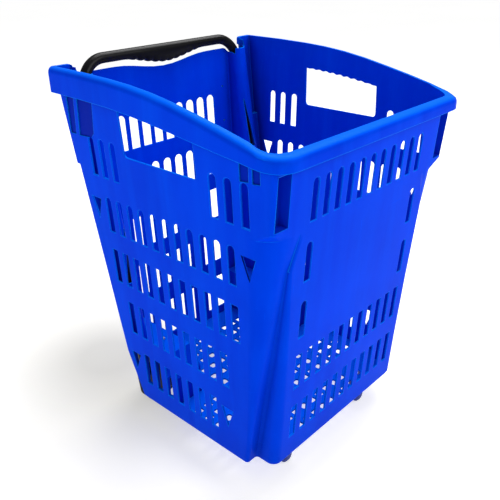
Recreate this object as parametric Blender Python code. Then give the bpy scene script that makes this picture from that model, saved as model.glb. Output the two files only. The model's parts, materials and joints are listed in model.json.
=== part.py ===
# Rolling hand basket for a shop: tapered slotted shell, sliding U handle on two
# inclined rods, two rear wheels in black brackets and two front feet.
# Metres, +Z up.  Front is -Y, the handle side is +Y.
import math
import bpy
import bmesh
from mathutils import Vector, Matrix, Quaternion

# ----------------------------------------------------------------- dimensions
GROUND = 0.045          # shell bottom edge above the floor
Y_SHIFT = -0.0033       # centres the whole assembly on Y
T = 0.0024              # wall thickness
XA0, XA1 = 0.1810, 0.0436      # side wall outer face: x = XA0 + XA1 z
YB0, YB1 = -0.1634, -0.0749    # front wall outer face
YD0, YD1 = 0.1970, 0.0380      # rear wall outer face
X_NOTCH = 0.160         # inner wall of the front corner flutes
RIM_X, RIM_Y, RIM_R = 0.2141, -0.2140, 0.036
RIM_BACK = 0.2175
ROD_X, ROD_R = 0.163, 0.0078
ROD_Y0, ROD_SLOPE = 0.1198, 0.168
CH_R = 0.012            # rod channel radius in the shell
FLOOR_Z, FLOOR_T = 0.012, 0.0032
WHEEL_Y, WHEEL_R = 0.146, 0.024
WHEEL_X, WHEEL_W = 0.1375, 0.0200
WELL_X0, WELL_X1 = 0.1180, 0.1775
WELL_Y0, WELL_Y1 = 0.0400, 0.2300       # the wells run out through the rear wall
WELL_TOP = 0.0960
SLOT_W = 0.0115
LUG_Z = 0.405
TRAVEL = 0.346

TILT = math.atan(ROD_SLOPE)              # rods lean backwards going up
AXIS = Vector((0.0, math.sin(TILT), math.cos(TILT)))


def rod_y(z):
    return ROD_Y0 + ROD_SLOPE * z


# ------------------------------------------------------------------ utilities
for o in list(bpy.data.objects):
    bpy.data.objects.remove(o, do_unlink=True)

scene = bpy.context.scene
MATS = {}


def material(name, rgb, rough, metal=0.0):
    if name in MATS:
        return MATS[name]
    m = bpy.data.materials.new(name)
    m.use_nodes = True
    b = m.node_tree.nodes["Principled BSDF"]
    b.inputs["Base Color"].default_value = (rgb[0], rgb[1], rgb[2], 1.0)
    b.inputs["Roughness"].default_value = rough
    b.inputs["Metallic"].default_value = metal
    m.diffuse_color = (rgb[0], rgb[1], rgb[2], 1.0)
    MATS[name] = m
    return m


def blue():
    return material("blue_polypropylene", (0.004, 0.050, 0.720), 0.38)


def navy():
    return material("navy_foot_plastic", (0.004, 0.020, 0.230), 0.45)


def black():
    return material("black_plastic", (0.012, 0.012, 0.013), 0.42)


def gloss_black():
    return material("black_handle_plastic", (0.016, 0.016, 0.017), 0.30)


def rubber():
    return material("black_rubber", (0.010, 0.010, 0.011), 0.75)


def steel():
    return material("zinc_steel", (0.55, 0.56, 0.58), 0.32, 1.0)


def make(name, verts, faces, mat=None, smooth=False):
    me = bpy.data.meshes.new(name)
    me.from_pydata([tuple(v) for v in verts], [], faces)
    me.validate(verbose=False)
    ob = bpy.data.objects.new(name, me)
    scene.collection.objects.link(ob)
    bm = bmesh.new()
    bm.from_mesh(me)
    bmesh.ops.recalc_face_normals(bm, faces=bm.faces)
    bm.to_mesh(me)
    bm.free()
    if mat:
        me.materials.append(mat)
    if smooth:
        for p in me.polygons:
            p.use_smooth = True
    return ob


def loft(name, rings, mat=None, closed=False):
    n = len(rings[0])
    verts, faces = [], []
    for r in rings:
        verts += [Vector(p) for p in r]
    m = len(rings)
    for j in range(m if closed else m - 1):
        a, b = j * n, ((j + 1) % m) * n
        for i in range(n):
            k = (i + 1) % n
            faces.append((a + i, a + k, b + k, b + i))
    if not closed:
        faces.append(tuple(range(n - 1, -1, -1)))
        faces.append(tuple((m - 1) * n + i for i in range(n)))
    return make(name, verts, faces, mat)


def box(name, x0, x1, y0, y1, z0, z1, mat=None):
    v = [(x, y, z) for z in (z0, z1) for y in (y0, y1) for x in (x0, x1)]
    f = [(0, 2, 3, 1), (4, 5, 7, 6), (0, 1, 5, 4), (2, 6, 7, 3), (0, 4, 6, 2), (1, 3, 7, 5)]
    return make(name, v, f, mat)


def prism(name, poly, axis, a, b, mat=None):
    """Extrude a 2-D polygon between a and b along axis 'X', 'Y' or 'Z'."""
    def p3(p, t):
        if axis == "X":
            return (t, p[0], p[1])
        if axis == "Y":
            return (p[0], t, p[1])
        return (p[0], p[1], t)
    return loft(name, [[p3(p, a) for p in poly], [p3(p, b) for p in poly]], mat)


def join(name, obs):
    """Merge disjoint helper solids into one mesh."""
    bm = bmesh.new()
    for o in obs:
        me = o.data.copy()
        me.transform(o.matrix_world)
        bm.from_mesh(me)
        bpy.data.meshes.remove(me)
    me = bpy.data.meshes.new(name)
    bm.to_mesh(me)
    bm.free()
    for o in obs:
        bpy.data.objects.remove(o, do_unlink=True)
    ob = bpy.data.objects.new(name, me)
    scene.collection.objects.link(ob)
    return ob


def boolean(ob, cutter, op, keep=False):
    md = ob.modifiers.new("b", "BOOLEAN")
    md.operation = op
    md.solver = "EXACT"
    md.object = cutter
    cutter.hide_render = True
    cutter.display_type = "WIRE"
    dg = bpy.context.evaluated_depsgraph_get()
    dg.update()
    me = bpy.data.meshes.new_from_object(ob.evaluated_get(dg))
    ob.modifiers.clear()
    old = ob.data
    ob.data = me
    me.name = old.name
    bpy.data.meshes.remove(old)
    if not keep:
        bpy.data.objects.remove(cutter, do_unlink=True)
    return ob


def tidy(ob, angle=0.2):
    bm = bmesh.new()
    bm.from_mesh(ob.data)
    bmesh.ops.remove_doubles(bm, verts=bm.verts, dist=0.00002)
    bmesh.ops.dissolve_limit(bm, angle_limit=math.radians(angle), verts=bm.verts,
                             edges=bm.edges, use_dissolve_boundaries=False)
    bmesh.ops.triangulate(bm, faces=bm.faces)
    bm.to_mesh(ob.data)
    bm.free()
    return ob


def tube_between(name, p, q, r, n=16, mat=None, r2=None):
    p, q = Vector(p), Vector(q)
    d = (q - p).normalized()
    u = d.orthogonal().normalized()
    w = d.cross(u)
    rings = []
    for c, rr in ((p, r), (q, r if r2 is None else r2)):
        rings.append([c + (u * math.cos(2 * math.pi * i / n) + w * math.sin(2 * math.pi * i / n)) * rr
                      for i in range(n)])
    return loft(name, rings, mat)


def revolve(name, prof, n, mat=None, closed_profile=True, smooth=False):
    """prof = [(axial, radius)...] around local X; closed loop profile makes a ring."""
    rings = []
    for i in range(n):
        a = 2 * math.pi * i / n
        rings.append([(p[0], p[1] * math.cos(a), p[1] * math.sin(a)) for p in prof])
    if closed_profile:
        return loft(name, rings, mat, closed=True)
    verts, faces = [], []
    m = len(prof)
    verts.append((prof[0][0], 0, 0))
    verts.append((prof[-1][0], 0, 0))
    inner = prof
    for r in rings:
        verts += r
    for i in range(n):
        a = 2 + i * m
        b = 2 + ((i + 1) % n) * m
        faces.append((0, b, a))
        for j in range(m - 1):
            faces.append((a + j, b + j, b + j + 1, a + j + 1))
        faces.append((1, a + m - 1, b + m - 1))
    return make(name, verts, faces, mat)


def place(ob, origin):
    """Move the mesh so that the object origin sits at the given point."""
    o = Vector(origin)
    ob.data.transform(Matrix.Translation(-o))
    ob.location = o
    return ob


def shade(ob, smooth=True):
    for p in ob.data.polygons:
        p.use_smooth = smooth
    return ob


# -------------------------------------------------------------- shell outline
def arc(cx, cy, r, a0, a1, n):
    return [(cx + r * math.cos(math.radians(a0 + (a1 - a0) * i / n)),
             cy + r * math.sin(math.radians(a0 + (a1 - a0) * i / n))) for i in range(n + 1)]


def half_outline(z, q=1, t=0.0):
    """Right half of the plan outline at height z, front centre to rear centre.
    t offsets the outline inwards by one wall thickness for the inside face."""
    zz = max(z, 0.0)
    xa = XA0 + XA1 * z
    yb = YB0 + YB1 * z
    yd = YD0 + YD1 * z
    lug = z > LUG_Z
    shoulder = max(0.0, min(1.0, (z - 0.383) / 0.014))       # widens into the front stacking lug
    ye = -0.128 - 0.163 * zz
    w = 1.0 if lug else max(0.0, min(1.0, (z - 0.335) / (0.383 - 0.335)))
    depth = max(ye - yb, 0.004)
    rb = min(0.014, depth * 0.62)
    rc = min(0.005, depth * 0.30)
    crown = max(0.0, min(1.0, (z - 0.4745) / 0.010))         # rounder again above the lug
    rl = (1 - shoulder) * (0.005 + 0.0376 * (min(zz, 0.389) / 0.389) ** 1.5) + shoulder * (0.007 + 0.023 * crown)
    xl = xa - rl
    if w < 1.0:
        xl = max(xl, X_NOTCH + rc + 0.0025)
    yl = (1 - w) * ye + w * yb
    rl = xa - xl
    xn = X_NOTCH - t
    rb2 = max(rb - t, 0.0015)
    rc2 = min(rc + t, depth - rb2 - 0.0004, xl - 0.0012 - xn)
    notch = arc(xn - rb2, yb + t + rb2, rb2, -90, 0, 3 * q)
    notch += arc(xn + rc2, ye + t - rc2, rc2, 180, 90, 2 * q)
    k = len(notch)
    x0, x1 = 0.138, xl - 0.003
    flat = [(x0 + (x1 - x0) * i / (k - 1), yb + t) for i in range(k)]
    pts = [((1 - w) * a[0] + w * b[0], (1 - w) * a[1] + w * b[1]) for a, b in zip(notch, flat)]
    pts += arc(xl, yl + rl, rl - t, -90, 0, 4 * q)
    # rear edge of the side wall
    yr = rod_y(z)
    if z < 0.083:
        ye2 = 0.1425 + 0.366 * (z - 0.083)
    elif not lug:
        ye2 = 0.1305 + 0.146 * z
    else:
        ye2 = min(0.1965 + 0.130 * (z - LUG_Z), 0.2165)
    yw = min(yr, (ye2 if z < 0.083 else 0.1305 + 0.146 * z) - 0.003)
    rr = CH_R + t
    if t == 0.0:
        r2 = min(0.0035, (xa - ROD_X - CH_R) * 0.45)
        pts += arc(xa - r2, ye2 - r2, r2, 0, 90, 2 * q)
        pts.append((ROD_X + CH_R, ye2))
        phi = 0.0
    else:
        f = max(0.0, min(1.0, (xa - t - ROD_X - rr - 0.003) / 0.004))
        ylip = (1 - f) * (yw - rr * 0.966) + f * max(ye2 - t, yw + 0.0005)
        phi = math.degrees(math.asin(max(-1.0, min(0.0, (ylip - yw) / rr))))
        xs = ROD_X + rr * math.cos(math.radians(phi))
        r2 = min(0.0012, (xa - t - xs) * 0.3)
        pts += arc(xa - t - r2, ylip - r2, r2, 0, 90, 2 * q)
        if ylip > yw + 0.0003:
            pts.append((xs, ylip))
        else:
            pts.append((0.5 * (xs + xa - t - r2), ylip))
    m = 6 * q
    pts += [(ROD_X + rr * math.cos(math.radians(a)), yw + rr * math.sin(math.radians(a)))
            for a in [phi + (-180.0 - phi) * i / m for i in range(m + 1)]]
    xi = ROD_X - rr
    r3 = 0.005 - t * 0.9
    pts += [(xi - r3 + r3 * math.cos(math.radians(a)), yd - t - r3 + r3 * math.sin(math.radians(a)))
            for a in [90.0 * i / (2 * q) for i in range(2 * q + 1)]]
    return pts


def outline(z, q=1, t=0.0):
    h = half_outline(z, q, t)
    return h + [(-x, y) for x, y in reversed(h)]


def ring(z, q=1, t=0.0, shrink=0.0):
    out = []
    for x, y in outline(z, q, t):
        k = 1.0 - shrink / 0.18
        out.append((x * k, y * k, z))
    return out


# ------------------------------------------------------------ rim height data
CREST = [(-0.25, 0.4925), (-0.200, 0.4945), (-0.180, 0.4985), (-0.160, 0.5035), (-0.120, 0.5130),
         (-0.080, 0.5215), (-0.040, 0.5295), (0.000, 0.5358), (0.040, 0.5400), (0.080, 0.5425),
         (0.120, 0.5440), (0.160, 0.5450), (0.25, 0.5455)]
SKIRT = [(-0.25, 0.4745), (-0.205, 0.4755), (-0.180, 0.4790), (-0.158, 0.4820), (-0.110, 0.4872),
         (-0.068, 0.4925), (-0.020, 0.4985), (0.020, 0.5030), (0.060, 0.5064), (0.1025, 0.5088),
         (0.150, 0.5098), (0.25, 0.5110)]


def lerp(tab, y):
    if y <= tab[0][0]:
        return tab[0][1]
    for a, b in zip(tab, tab[1:]):
        if y <= b[0]:
            f = (y - a[0]) / (b[0] - a[0])
            return a[1] + (b[1] - a[1]) * f
    return tab[-1][1]


def rear_edge(x):
    a = abs(x)
    dip = 0.5 * (1 + math.cos(math.pi * a / 0.098)) if a < 0.098 else 0.0
    return 0.5295 - 0.0108 * dip


# rounded step from the rear edge up to the side walls, and the pocket behind the edge
# that clears the bend of the handle
REAR_STEP = [(0.1672, 0.5295), (0.1712, 0.5300), (0.1741, 0.5320), (0.1756, 0.5350), (0.1760, 0.5390)]
BEND_RELIEF = [(0.1405, 0.5400), (0.1405, 0.5290), (0.1440, 0.5283), (0.1480, 0.5238), (0.1512, 0.5187),
               (0.1545, 0.5175), (0.1580, 0.5250), (0.1640, 0.5285), (0.1680, 0.5293), (0.1680, 0.5400)]


# ----------------------------------------------------------------- shell body
def build_shell(q=1):
    zo = [0.0045, 0.083, 0.20, 0.30, 0.335, 0.383, 0.397, 0.4047, 0.4053, 0.4745, 0.4845, 0.57]
    rings = [ring(0.0, q, 0.0, 0.0022)] + [ring(z, q) for z in zo]
    body = loft("shell", rings)
    # upper edge follows the arch, with the rear wall cut lower between the rods
    ys = [-0.26 + 0.04 * i for i in range(14)]
    poly = [(y, lerp(CREST, y) - 0.004) for y in ys] + [(ys[-1], 0.62), (ys[0], 0.62)]
    boolean(body, prism("topcut", poly, "X", -0.3, 0.3), "DIFFERENCE")
    half = [(0.02 * i, rear_edge(0.02 * i)) for i in range(6)] + REAR_STEP
    poly = [(-x, z) for x, z in reversed(half[1:])] + half + [(0.1760, 0.62), (-0.1760, 0.62)]
    boolean(body, prism("rearcut", poly, "Y", 0.172, 0.30), "DIFFERENCE")
    for s in (1, -1):
        poly = [(s * x, z) for x, z in BEND_RELIEF]
        boolean(body, prism("relief", poly, "Y", 0.1965, 0.30), "DIFFERENCE")
    # rolled rim with a hanging skirt on the front and both sides
    st = []
    arc_n = 4 * q
    for i in range(3):
        a = math.radians(90 - 45 * i)
        st.append((RIM_X - 0.006 + 0.006 * math.cos(a), RIM_BACK - 0.006 + 0.006 * math.sin(a), None))
    ysides = [0.14, 0.08, 0.04, 0.0, -0.04, -0.08, -0.12, -0.16]
    st += [(RIM_X, y, None) for y in ysides]
    for i in range(arc_n + 1):
        a = math.radians(-90.0 * i / arc_n)
        st.append((RIM_X - RIM_R + RIM_R * math.cos(a), RIM_Y + RIM_R + RIM_R * math.sin(a), math.degrees(a)))
    st = st + [(-x, y, s) for x, y, s in reversed(st)]
    rings = []
    for x, y, s in st:
        sg = 1 if x > 0 else -1
        zc, zb = lerp(CREST, y), lerp(SKIRT, y)
        xa, yb = XA0 + XA1 * zc, YB0 + YB1 * zc
        if s is None:
            yy = min(y, RIM_BACK)
            wl = Vector((sg * min(xa, abs(x) + 0.0), yy, 0))
            wi = Vector((sg * (xa - 0.007), yy, 0))
            n = Vector((sg, 0, 0))
        else:
            rw, ri = 0.030, 0.0230
            c, sn = math.cos(math.radians(s)), math.sin(math.radians(s))
            wl = Vector((sg * (xa - rw + rw * c), yb + rw + rw * sn, 0))
            wi = Vector((sg * (xa - rw + ri * c), yb + rw + ri * sn, 0))
            n = Vector((sg * c, sn, 0))
        po = Vector((x, y, 0))
        wid = (po - wl)
        t = 0.0024
        sec = []

        def at(v, z):
            return (v.x, v.y, z)
        sec.append(at(po, zb))
        sec.append(at(po, zc - 0.0085))
        sec.append(at(po - wid * 0.10, zc - 0.0048))
        sec.append(at(po - wid * 0.35, zc - 0.0018))
        sec.append(at(po - wid * 0.72, zc - 0.0002))
        sec.append(at(wl, zc))
        sec.append(at(wi, zc))
        sec.append(at(wi, zc - 0.008))
        inn = po - wid.normalized() * t if wid.length > 0.004 else po - n * t
        mid = wl - (wl - wi) * 0.20
        sec.append(at(mid, zc - 0.0085))
        sec.append(at(inn, zc - 0.0100))
        sec.append(at(inn, zb))
        rings.append(sec)
    rim = loft("rim", rings)
    boolean(body, rim, "UNION")
    for s in (1, -1):
        heel = [(0.1761, 0.5320), (0.1761, 0.5418), (0.1769, 0.5439), (0.1790, 0.5450), (0.1850, 0.5453),
                (0.1990, 0.5453), (0.1990, 0.5320)]
        boolean(body, prism("heel", [(s * x, z) for x, z in heel], "Y", 0.2085, 0.2168), "UNION")
    # inside of the basket
    zi = [FLOOR_Z, 0.03, 0.083, 0.20, 0.30, 0.335, 0.383, 0.397, 0.4047, 0.4053, 0.4745, 0.4845, 0.57, 0.60]
    rings = []
    for z in zi:
        p = ring(z, q, T, 0.0022 if z == FLOOR_Z else 0.0)
        if z in (0.4047, 0.4053):
            p = [(x, y, z + T) for x, y, _ in p]
        rings.append(p)
    cavity = loft("cavity", rings)
    keep = []
    for s in (1, -1):
        prof = [(WELL_Y0 - T, -0.01), (WELL_Y0 - T, WELL_TOP - 0.030), (WELL_Y0 + 0.022, WELL_TOP + T),
                (0.22, WELL_TOP + T), (0.22, -0.01)]
        keep.append(prism("wo", prof, "X", s * (WELL_X0 - T), s * 0.195))
        px = [(s * 0.1690, -0.240), (s * 0.1985, -0.240), (s * 0.1985, -0.1755), (s * 0.1690, -0.1755)]
        keep.append(prism("po", px, "Z", 0.3975, 0.4720))
    boolean(cavity, join("keep", keep), "DIFFERENCE")
    boolean(body, cavity, "DIFFERENCE")
    # underside recess below the floor plate
    h = [(0.0, YB0 + 0.004), (0.136, YB0 + 0.004), (0.149, YB0 + 0.010), (0.1535, YB0 + 0.024), (0.1545, -0.127),
         (0.167, -0.1225), (0.1755, -0.112), (0.1772, -0.095), (0.1772, 0.0935), (0.1640, 0.1035), (0.1480, 0.112),
         (0.1460, 0.1935)]
    poly = h + [(-x, y) for x, y in reversed(h[1:])]
    boolean(body, prism("under", poly, "Z", -0.01, FLOOR_Z - FLOOR_T), "DIFFERENCE")
    cut = []
    for s in (1, -1):
        prof = [(WELL_Y0, -0.02), (WELL_Y0, WELL_TOP - 0.031), (WELL_Y0 + 0.0225, WELL_TOP),
                (WELL_Y1, WELL_TOP), (WELL_Y1, -0.02)]
        cut.append(prism("wi", prof, "X", s * WELL_X0, s * WELL_X1))
        px = [(s * 0.1718, -0.250), (s * 0.1950, -0.250), (s * 0.1950, -0.1785), (s * 0.1718, -0.1785)]
        cut.append(prism("pi", px, "Z", 0.4005, 0.4690))
    boolean(body, join("wells", cut), "DIFFERENCE")
    # bosses and ribs under the floor for the feet and brackets
    return body


# -------------------------------------------------------------- slot patterns
ROW_A = [  # z bottom, z top, rounded, [centres along y]
    (0.3960, 0.4535, True, [0.1484, 0.1243, 0.0990, -0.0985, -0.1243, -0.1510]),
    (0.3090, 0.3645, True, [0.1281 - 0.02507 * i for i in range(11)]),
    (0.2210, 0.2775, False, [0.1307 - 0.02533 * i for i in range(11)]),
    (0.1310, 0.1885, False, [0.1112 - 0.02574 * i for i in range(9)]),
    (0.0385, 0.0960, False, [0.0890 - 0.02565 * i for i in range(7)]),
]
ROW_B = [
    (0.3940, 0.4500, True, [-0.1227 + 0.02454 * i for i in range(11)]),
    (0.3090, 0.3650, True, [-0.1245, 0.1245]),
    (0.2210, 0.2780, True, [-0.1250, 0.1250]),
    (0.1330, 0.1905, False, [-0.1250 + 0.0250 * i for i in range(11)]),
    (0.0420, 0.0990, False, [-0.1250 + 0.0250 * i for i in range(11)]),
]
ROW_D = [
    (0.3960, 0.4534, True, [-0.0990 + 0.02475 * i for i in range(9)], 0.0160),
    (0.3090, 0.3645, True, [-0.0917 + 0.0262 * i for i in range(8)], 0.0160),
    (0.2210, 0.2775, False, [-0.0917 + 0.0262 * i for i in range(8)], 0.0160),
    (0.1310, 0.1885, False, [-0.0917 + 0.0262 * i for i in range(8)], 0.0160),
    (0.0280, 0.0950, False, [-0.0917 + 0.0262 * i for i in range(8)], 0.0160),
]


def slot_poly(c, w, z0, z1, rounded, q=1):
    h = w / 2.0
    if not rounded:
        return [(c - h, z0), (c + h, z0), (c + h, z1), (c - h, z1)]
    pts = [(c - h, z0), (c + h, z0)]
    n = 3 if q == 1 else 8
    zc = z1 - h
    for i in range(n + 1):
        a = math.pi * i / n
        pts.append((c + h * math.cos(a), zc + h * math.sin(a)))
    return pts


def tri_poly(yc, z0, z1, w, skew):
    return [(yc - w / 2, z1), (yc + skew, z0), (yc + w / 2, z1)]


def wall_prism(poly, s, d0, d1):
    """Prism between two offsets of the leaning side wall, polygon in (y, z)."""
    rings = []
    for d in (d0, d1):
        rings.append([(s * (XA0 + XA1 * z + d), y, z) for y, z in poly])
    return loft("w", rings)


def floor_hole(x, y, q):
    hx, hy, r = 0.0066, 0.0061, 0.0030
    if q == 1:
        return prism("f", [(x - hx, y - hy), (x + hx, y - hy), (x + hx, y + hy), (x - hx, y + hy)], "Z", 0.004, 0.016)
    pts = []
    for sx, sy, a in ((1, -1, -90), (1, 1, 0), (-1, 1, 90), (-1, -1, 180)):
        pts += arc(x + sx * (hx - r), y + sy * (hy - r), r, a, a + 90, 4)
    return prism("f", pts, "Z", 0.004, 0.016)


def cut_slots(body, q=1):
    cut = []
    for s in (1, -1):
        for z0, z1, rd, ys in ROW_A:
            xm = XA0 + XA1 * 0.5 * (z0 + z1)
            for y in ys:
                cut.append(prism("s", slot_poly(y, SLOT_W, z0, z1, rd, q), "X",
                                 s * (xm - (0.0120 if z0 < 0.1 else 0.0064)), s * (xm + 0.006)))
        for yc, z0, z1, w, sk in ((-0.1520, 0.3245, 0.3565, 0.0215, -0.0005), (0.1580, 0.3270, 0.3580, 0.0215, -0.0010),
                                  (-0.0940, 0.0560, 0.0885, 0.0215, 0.0008), (0.1170, 0.0590, 0.0885, 0.0200, 0.0030)):
            xm = XA0 + XA1 * 0.5 * (z0 + z1)
            cut.append(prism("t", tri_poly(yc, z0, z1, w, sk), "X",
                             s * (xm - (0.0120 if z0 < 0.1 else 0.0064)), s * (xm + 0.006)))
        # hand hole
        xm = XA0 + XA1 * 0.47
        r, n = 0.006, (2 if q == 1 else 5)
        poly = []
        for i in range(n + 1):
            a = math.radians(180 + 90 * i / n)
            poly.append((-0.0715 + r + r * math.cos(a), 0.4385 + r + r * math.sin(a)))
        for i in range(n + 1):
            a = math.radians(270 + 90 * i / n)
            poly.append((0.0725 - r + r * math.cos(a), 0.4385 + r + r * math.sin(a)))
        m = 4 if q == 1 else 14
        for i in range(m + 1):
            f = i / m
            y = 0.0745 - 0.1435 * f
            poly.append((y, 0.5015 - 0.0135 * f ** 1.6))
        cut.append(prism("h", poly, "X", s * (xm - 0.0075), s * (xm + 0.0065)))
    for z0, z1, rd, xs in ROW_B:
        ym = YB0 + YB1 * 0.5 * (z0 + z1)
        for x in xs:
            cut.append(prism("s", slot_poly(x, SLOT_W - 0.0005, z0, z1, rd, q), "Y", ym - 0.0085, ym + 0.0085))
    for z0, z1, rd, xs, w in ROW_D:
        ym = YD0 + YD1 * 0.5 * (z0 + z1)
        for x in xs:
            cut.append(prism("s", slot_poly(x, w, z0, z1, rd, q), "Y", ym - 0.008, ym + 0.008))
    boolean(body, join("slots", cut), "DIFFERENCE")
    # floor openings
    cut = []
    nx, ny = 16, 13
    for j in range(ny):
        y = -0.1403 + 0.0240 * j
        for i in range(nx):
            x = -0.15375 + 0.0205 * i
            if y < -0.10 and abs(x) > 0.13:
                continue
            if y > 0.015 and abs(x) > 0.100:
                continue
            if 0.085 < abs(x) < 0.120 and y < -0.10:
                continue
            cut.append(floor_hole(x, y, q))
    boolean(body, join("floorcut", cut), "DIFFERENCE")
    return body


RODSLITS = ((0.4410, 0.1535, 0.1545, 0.3550, 0.1558, 0.1660), (0.2930, 0.1545, 0.1560, 0.2040, 0.1550, 0.1690))


def cut_recesses(body, q=1):
    cut = []
    for s in (1, -1):
        # shallow nesting recesses under the rim
        for poly in ([(-0.1590, 0.4560), (-0.1450, 0.4545), (-0.1450, 0.4900), (-0.1600, 0.4870)],
                     [(-0.1770, 0.4570), (-0.1650, 0.4555), (-0.1650, 0.4860), (-0.1770, 0.4840)],
                     [(0.1375, 0.4600), (0.1450, 0.4530), (0.1740, 0.4515), (0.1660, 0.5180), (0.1290, 0.5180)],
                     [(0.1825, 0.4520), (0.1960, 0.4520), (0.1925, 0.5180), (0.1735, 0.5180)]):
            cut.append(wall_prism(poly, s, -0.0016, 0.0060))
        # tapering slits through the front wall of the rod channel
        for za, xa0, xa1, zb, xb0, xb1 in RODSLITS:
            rings = []
            for z, x0, x1 in ((za, xa0, xa1), (zb, xb0, xb1)):
                yc = rod_y(z)
                rings.append([(s * x0, yc - 0.0210, z), (s * x1, yc - 0.0210, z),
                              (s * x1, yc - 0.0040, z), (s * x0, yc - 0.0040, z)])
            cut.append(loft("slit", rings))
    boolean(body, join("recess", cut), "DIFFERENCE")
    return body


def cut_fixings(body, q=1):
    cut = []
    n = 8
    for s in (1, -1):
        for z in GUIDE_SCREW_Z:
            y = YD0 + YD1 * z
            cut.append(tube_between("g", (s * 0.1310, y - 0.006, z), (s * 0.1310, y + 0.006, z), 0.0018, n))
        for y in BRACKET_SCREW_Y:
            cut.append(tube_between("b", (s * WHEEL_X, y, WELL_TOP - 0.004), (s * WHEEL_X, y, WELL_TOP + 0.008), 0.0022, n))
        cut.append(tube_between("f", (s * FOOT_X, FOOT_Y, 0.003), (s * FOOT_X, FOOT_Y, 0.020), 0.0022, n))
    boolean(body, join("fix", cut), "DIFFERENCE")
    return body


# ------------------------------------------------------------------ hardware
GUIDES = ((0.3920, 0.4120), (0.4520, 0.4755))       # z range of the two rod guides
GUIDE_SCREW_Z = (0.4020, 0.4640)
BRACKET_SCREW_Y = (0.1050, 0.1700)
FOOT_X, FOOT_Y = 0.1000, -0.1330
BAR_Z = 0.5465                                        # crossbar centre
BAR_R, BEND_R = 0.0082, 0.042
ARM_END = 0.0697                                      # bar centre to arm end, along the rods


def frame_pt(x, s, n=0.0):
    """Point in the leaning handle plane: x across, s along the rods, n to the rear."""
    c = Vector((0.0, rod_y(BAR_Z), BAR_Z))
    nn = Vector((0.0, AXIS.z, -AXIS.y))
    return c + Vector((x, 0, 0)) + AXIS * s + nn * n


def build_bow(q=1):
    st = []
    st.append((-ROD_X, -ARM_END, 0.0, 1.0, 0.0105))
    st.append((-ROD_X, -ARM_END + 0.0055, 0.0, 1.0, 0.0105))
    st.append((-ROD_X, -ARM_END + 0.0075, 0.0, 1.0, BAR_R))
    nb = 6 * q
    for i in range(nb + 1):
        a = math.radians(180 - 90 * i / nb)
        st.append((-ROD_X + BEND_R + BEND_R * math.cos(a), -BEND_R + BEND_R * math.sin(a),
                   math.cos(math.radians(90 * i / nb)), math.sin(math.radians(90 * i / nb)), BAR_R))
    st2 = []
    for x, s, ty, tx, r in st:
        st2.append((x, s, r))
    xb = -ROD_X + BEND_R
    grip = []
    ng = 14 * q
    for i in range(1, ng):
        grip.append((xb + (-2 * xb) * i / ng, 0.0, BAR_R))
    full = st2 + grip + [(-x, s, r) for x, s, r in reversed(st2)]
    rings = []
    n = 10 * q
    for i, (x, s, r) in enumerate(full):
        a = full[max(i - 1, 0)]
        b = full[min(i + 1, len(full) - 1)]
        tx, ts = b[0] - a[0], b[1] - a[1]
        if i <= 2:
            tx, ts = 0.0, 1.0
        if i >= len(full) - 3:
            tx, ts = 0.0, -1.0
        l = math.hypot(tx, ts)
        tx, ts = tx / l, ts / l
        ux, us = -ts, tx                               # in-plane normal, up over the bar
        u = abs(x) / 0.088
        extra = 0.0115 * (0.5 + 0.5 * math.cos(math.pi * u)) if u < 1 else 0.0
        if abs(x) < 0.052:
            extra += 0.0009 * math.cos(2 * math.pi * x / 0.0168)
        ring_ = []
        for k in range(n):
            th = 2 * math.pi * k / n
            c, sn = math.cos(th), math.sin(th)
            up = r * c
            if c < 0:
                up -= extra * min(1.0, (-c) * 1.35)
            side = r * sn * (1.0 + (0.10 if extra > 0.004 else 0.0))
            ring_.append(frame_pt(x + ux * up, s + us * up, side))
        rings.append(ring_)
    bow = loft("handle_bow", rings, gloss_black())
    for sx in (1, -1):
        c = tube_between("bore", frame_pt(sx * ROD_X, -ARM_END - 0.004), frame_pt(sx * ROD_X, -ARM_END + 0.0258),
                         0.0056, 10)
        boolean(bow, c, "DIFFERENCE")
    return bow


def build_rod(s, name):
    z0 = 0.0330
    s0 = -(BAR_Z - z0) / math.cos(TILT)
    u = Vector((1, 0, 0))
    w = Vector((0.0, AXIS.z, -AXIS.y))
    rings = []
    n = 12
    for ss, r in ((s0, ROD_R), (-ARM_END - 0.0003, ROD_R), (-ARM_END - 0.0003, 0.0053), (-ARM_END + 0.0250, 0.0053)):
        c = frame_pt(s * ROD_X, ss)
        rings.append([c + u * (r * math.cos(2 * math.pi * i / n)) + w * (r * math.sin(2 * math.pi * i / n))
                      for i in range(n)])
    return loft(name, rings, gloss_black())


def build_cap(s, name):
    z0 = 0.0290
    s0 = -(BAR_Z - z0) / math.cos(TILT)
    u = Vector((1, 0, 0))
    w = Vector((0.0, AXIS.z, -AXIS.y))
    rings = []
    n = 12
    sb = -(BAR_Z - 0.0330) / math.cos(TILT) - 0.0003
    for ss, r in ((s0, 0.0090), (s0 + 0.0020, 0.0108), (s0 + 0.0190, 0.0108), (s0 + 0.0190, 0.0082), (sb, 0.0082)):
        c = frame_pt(s * ROD_X, ss)
        rings.append([c + u * (r * math.cos(2 * math.pi * i / n)) + w * (r * math.sin(2 * math.pi * i / n))
                      for i in range(n)])
    return loft(name, rings, black())


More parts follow.
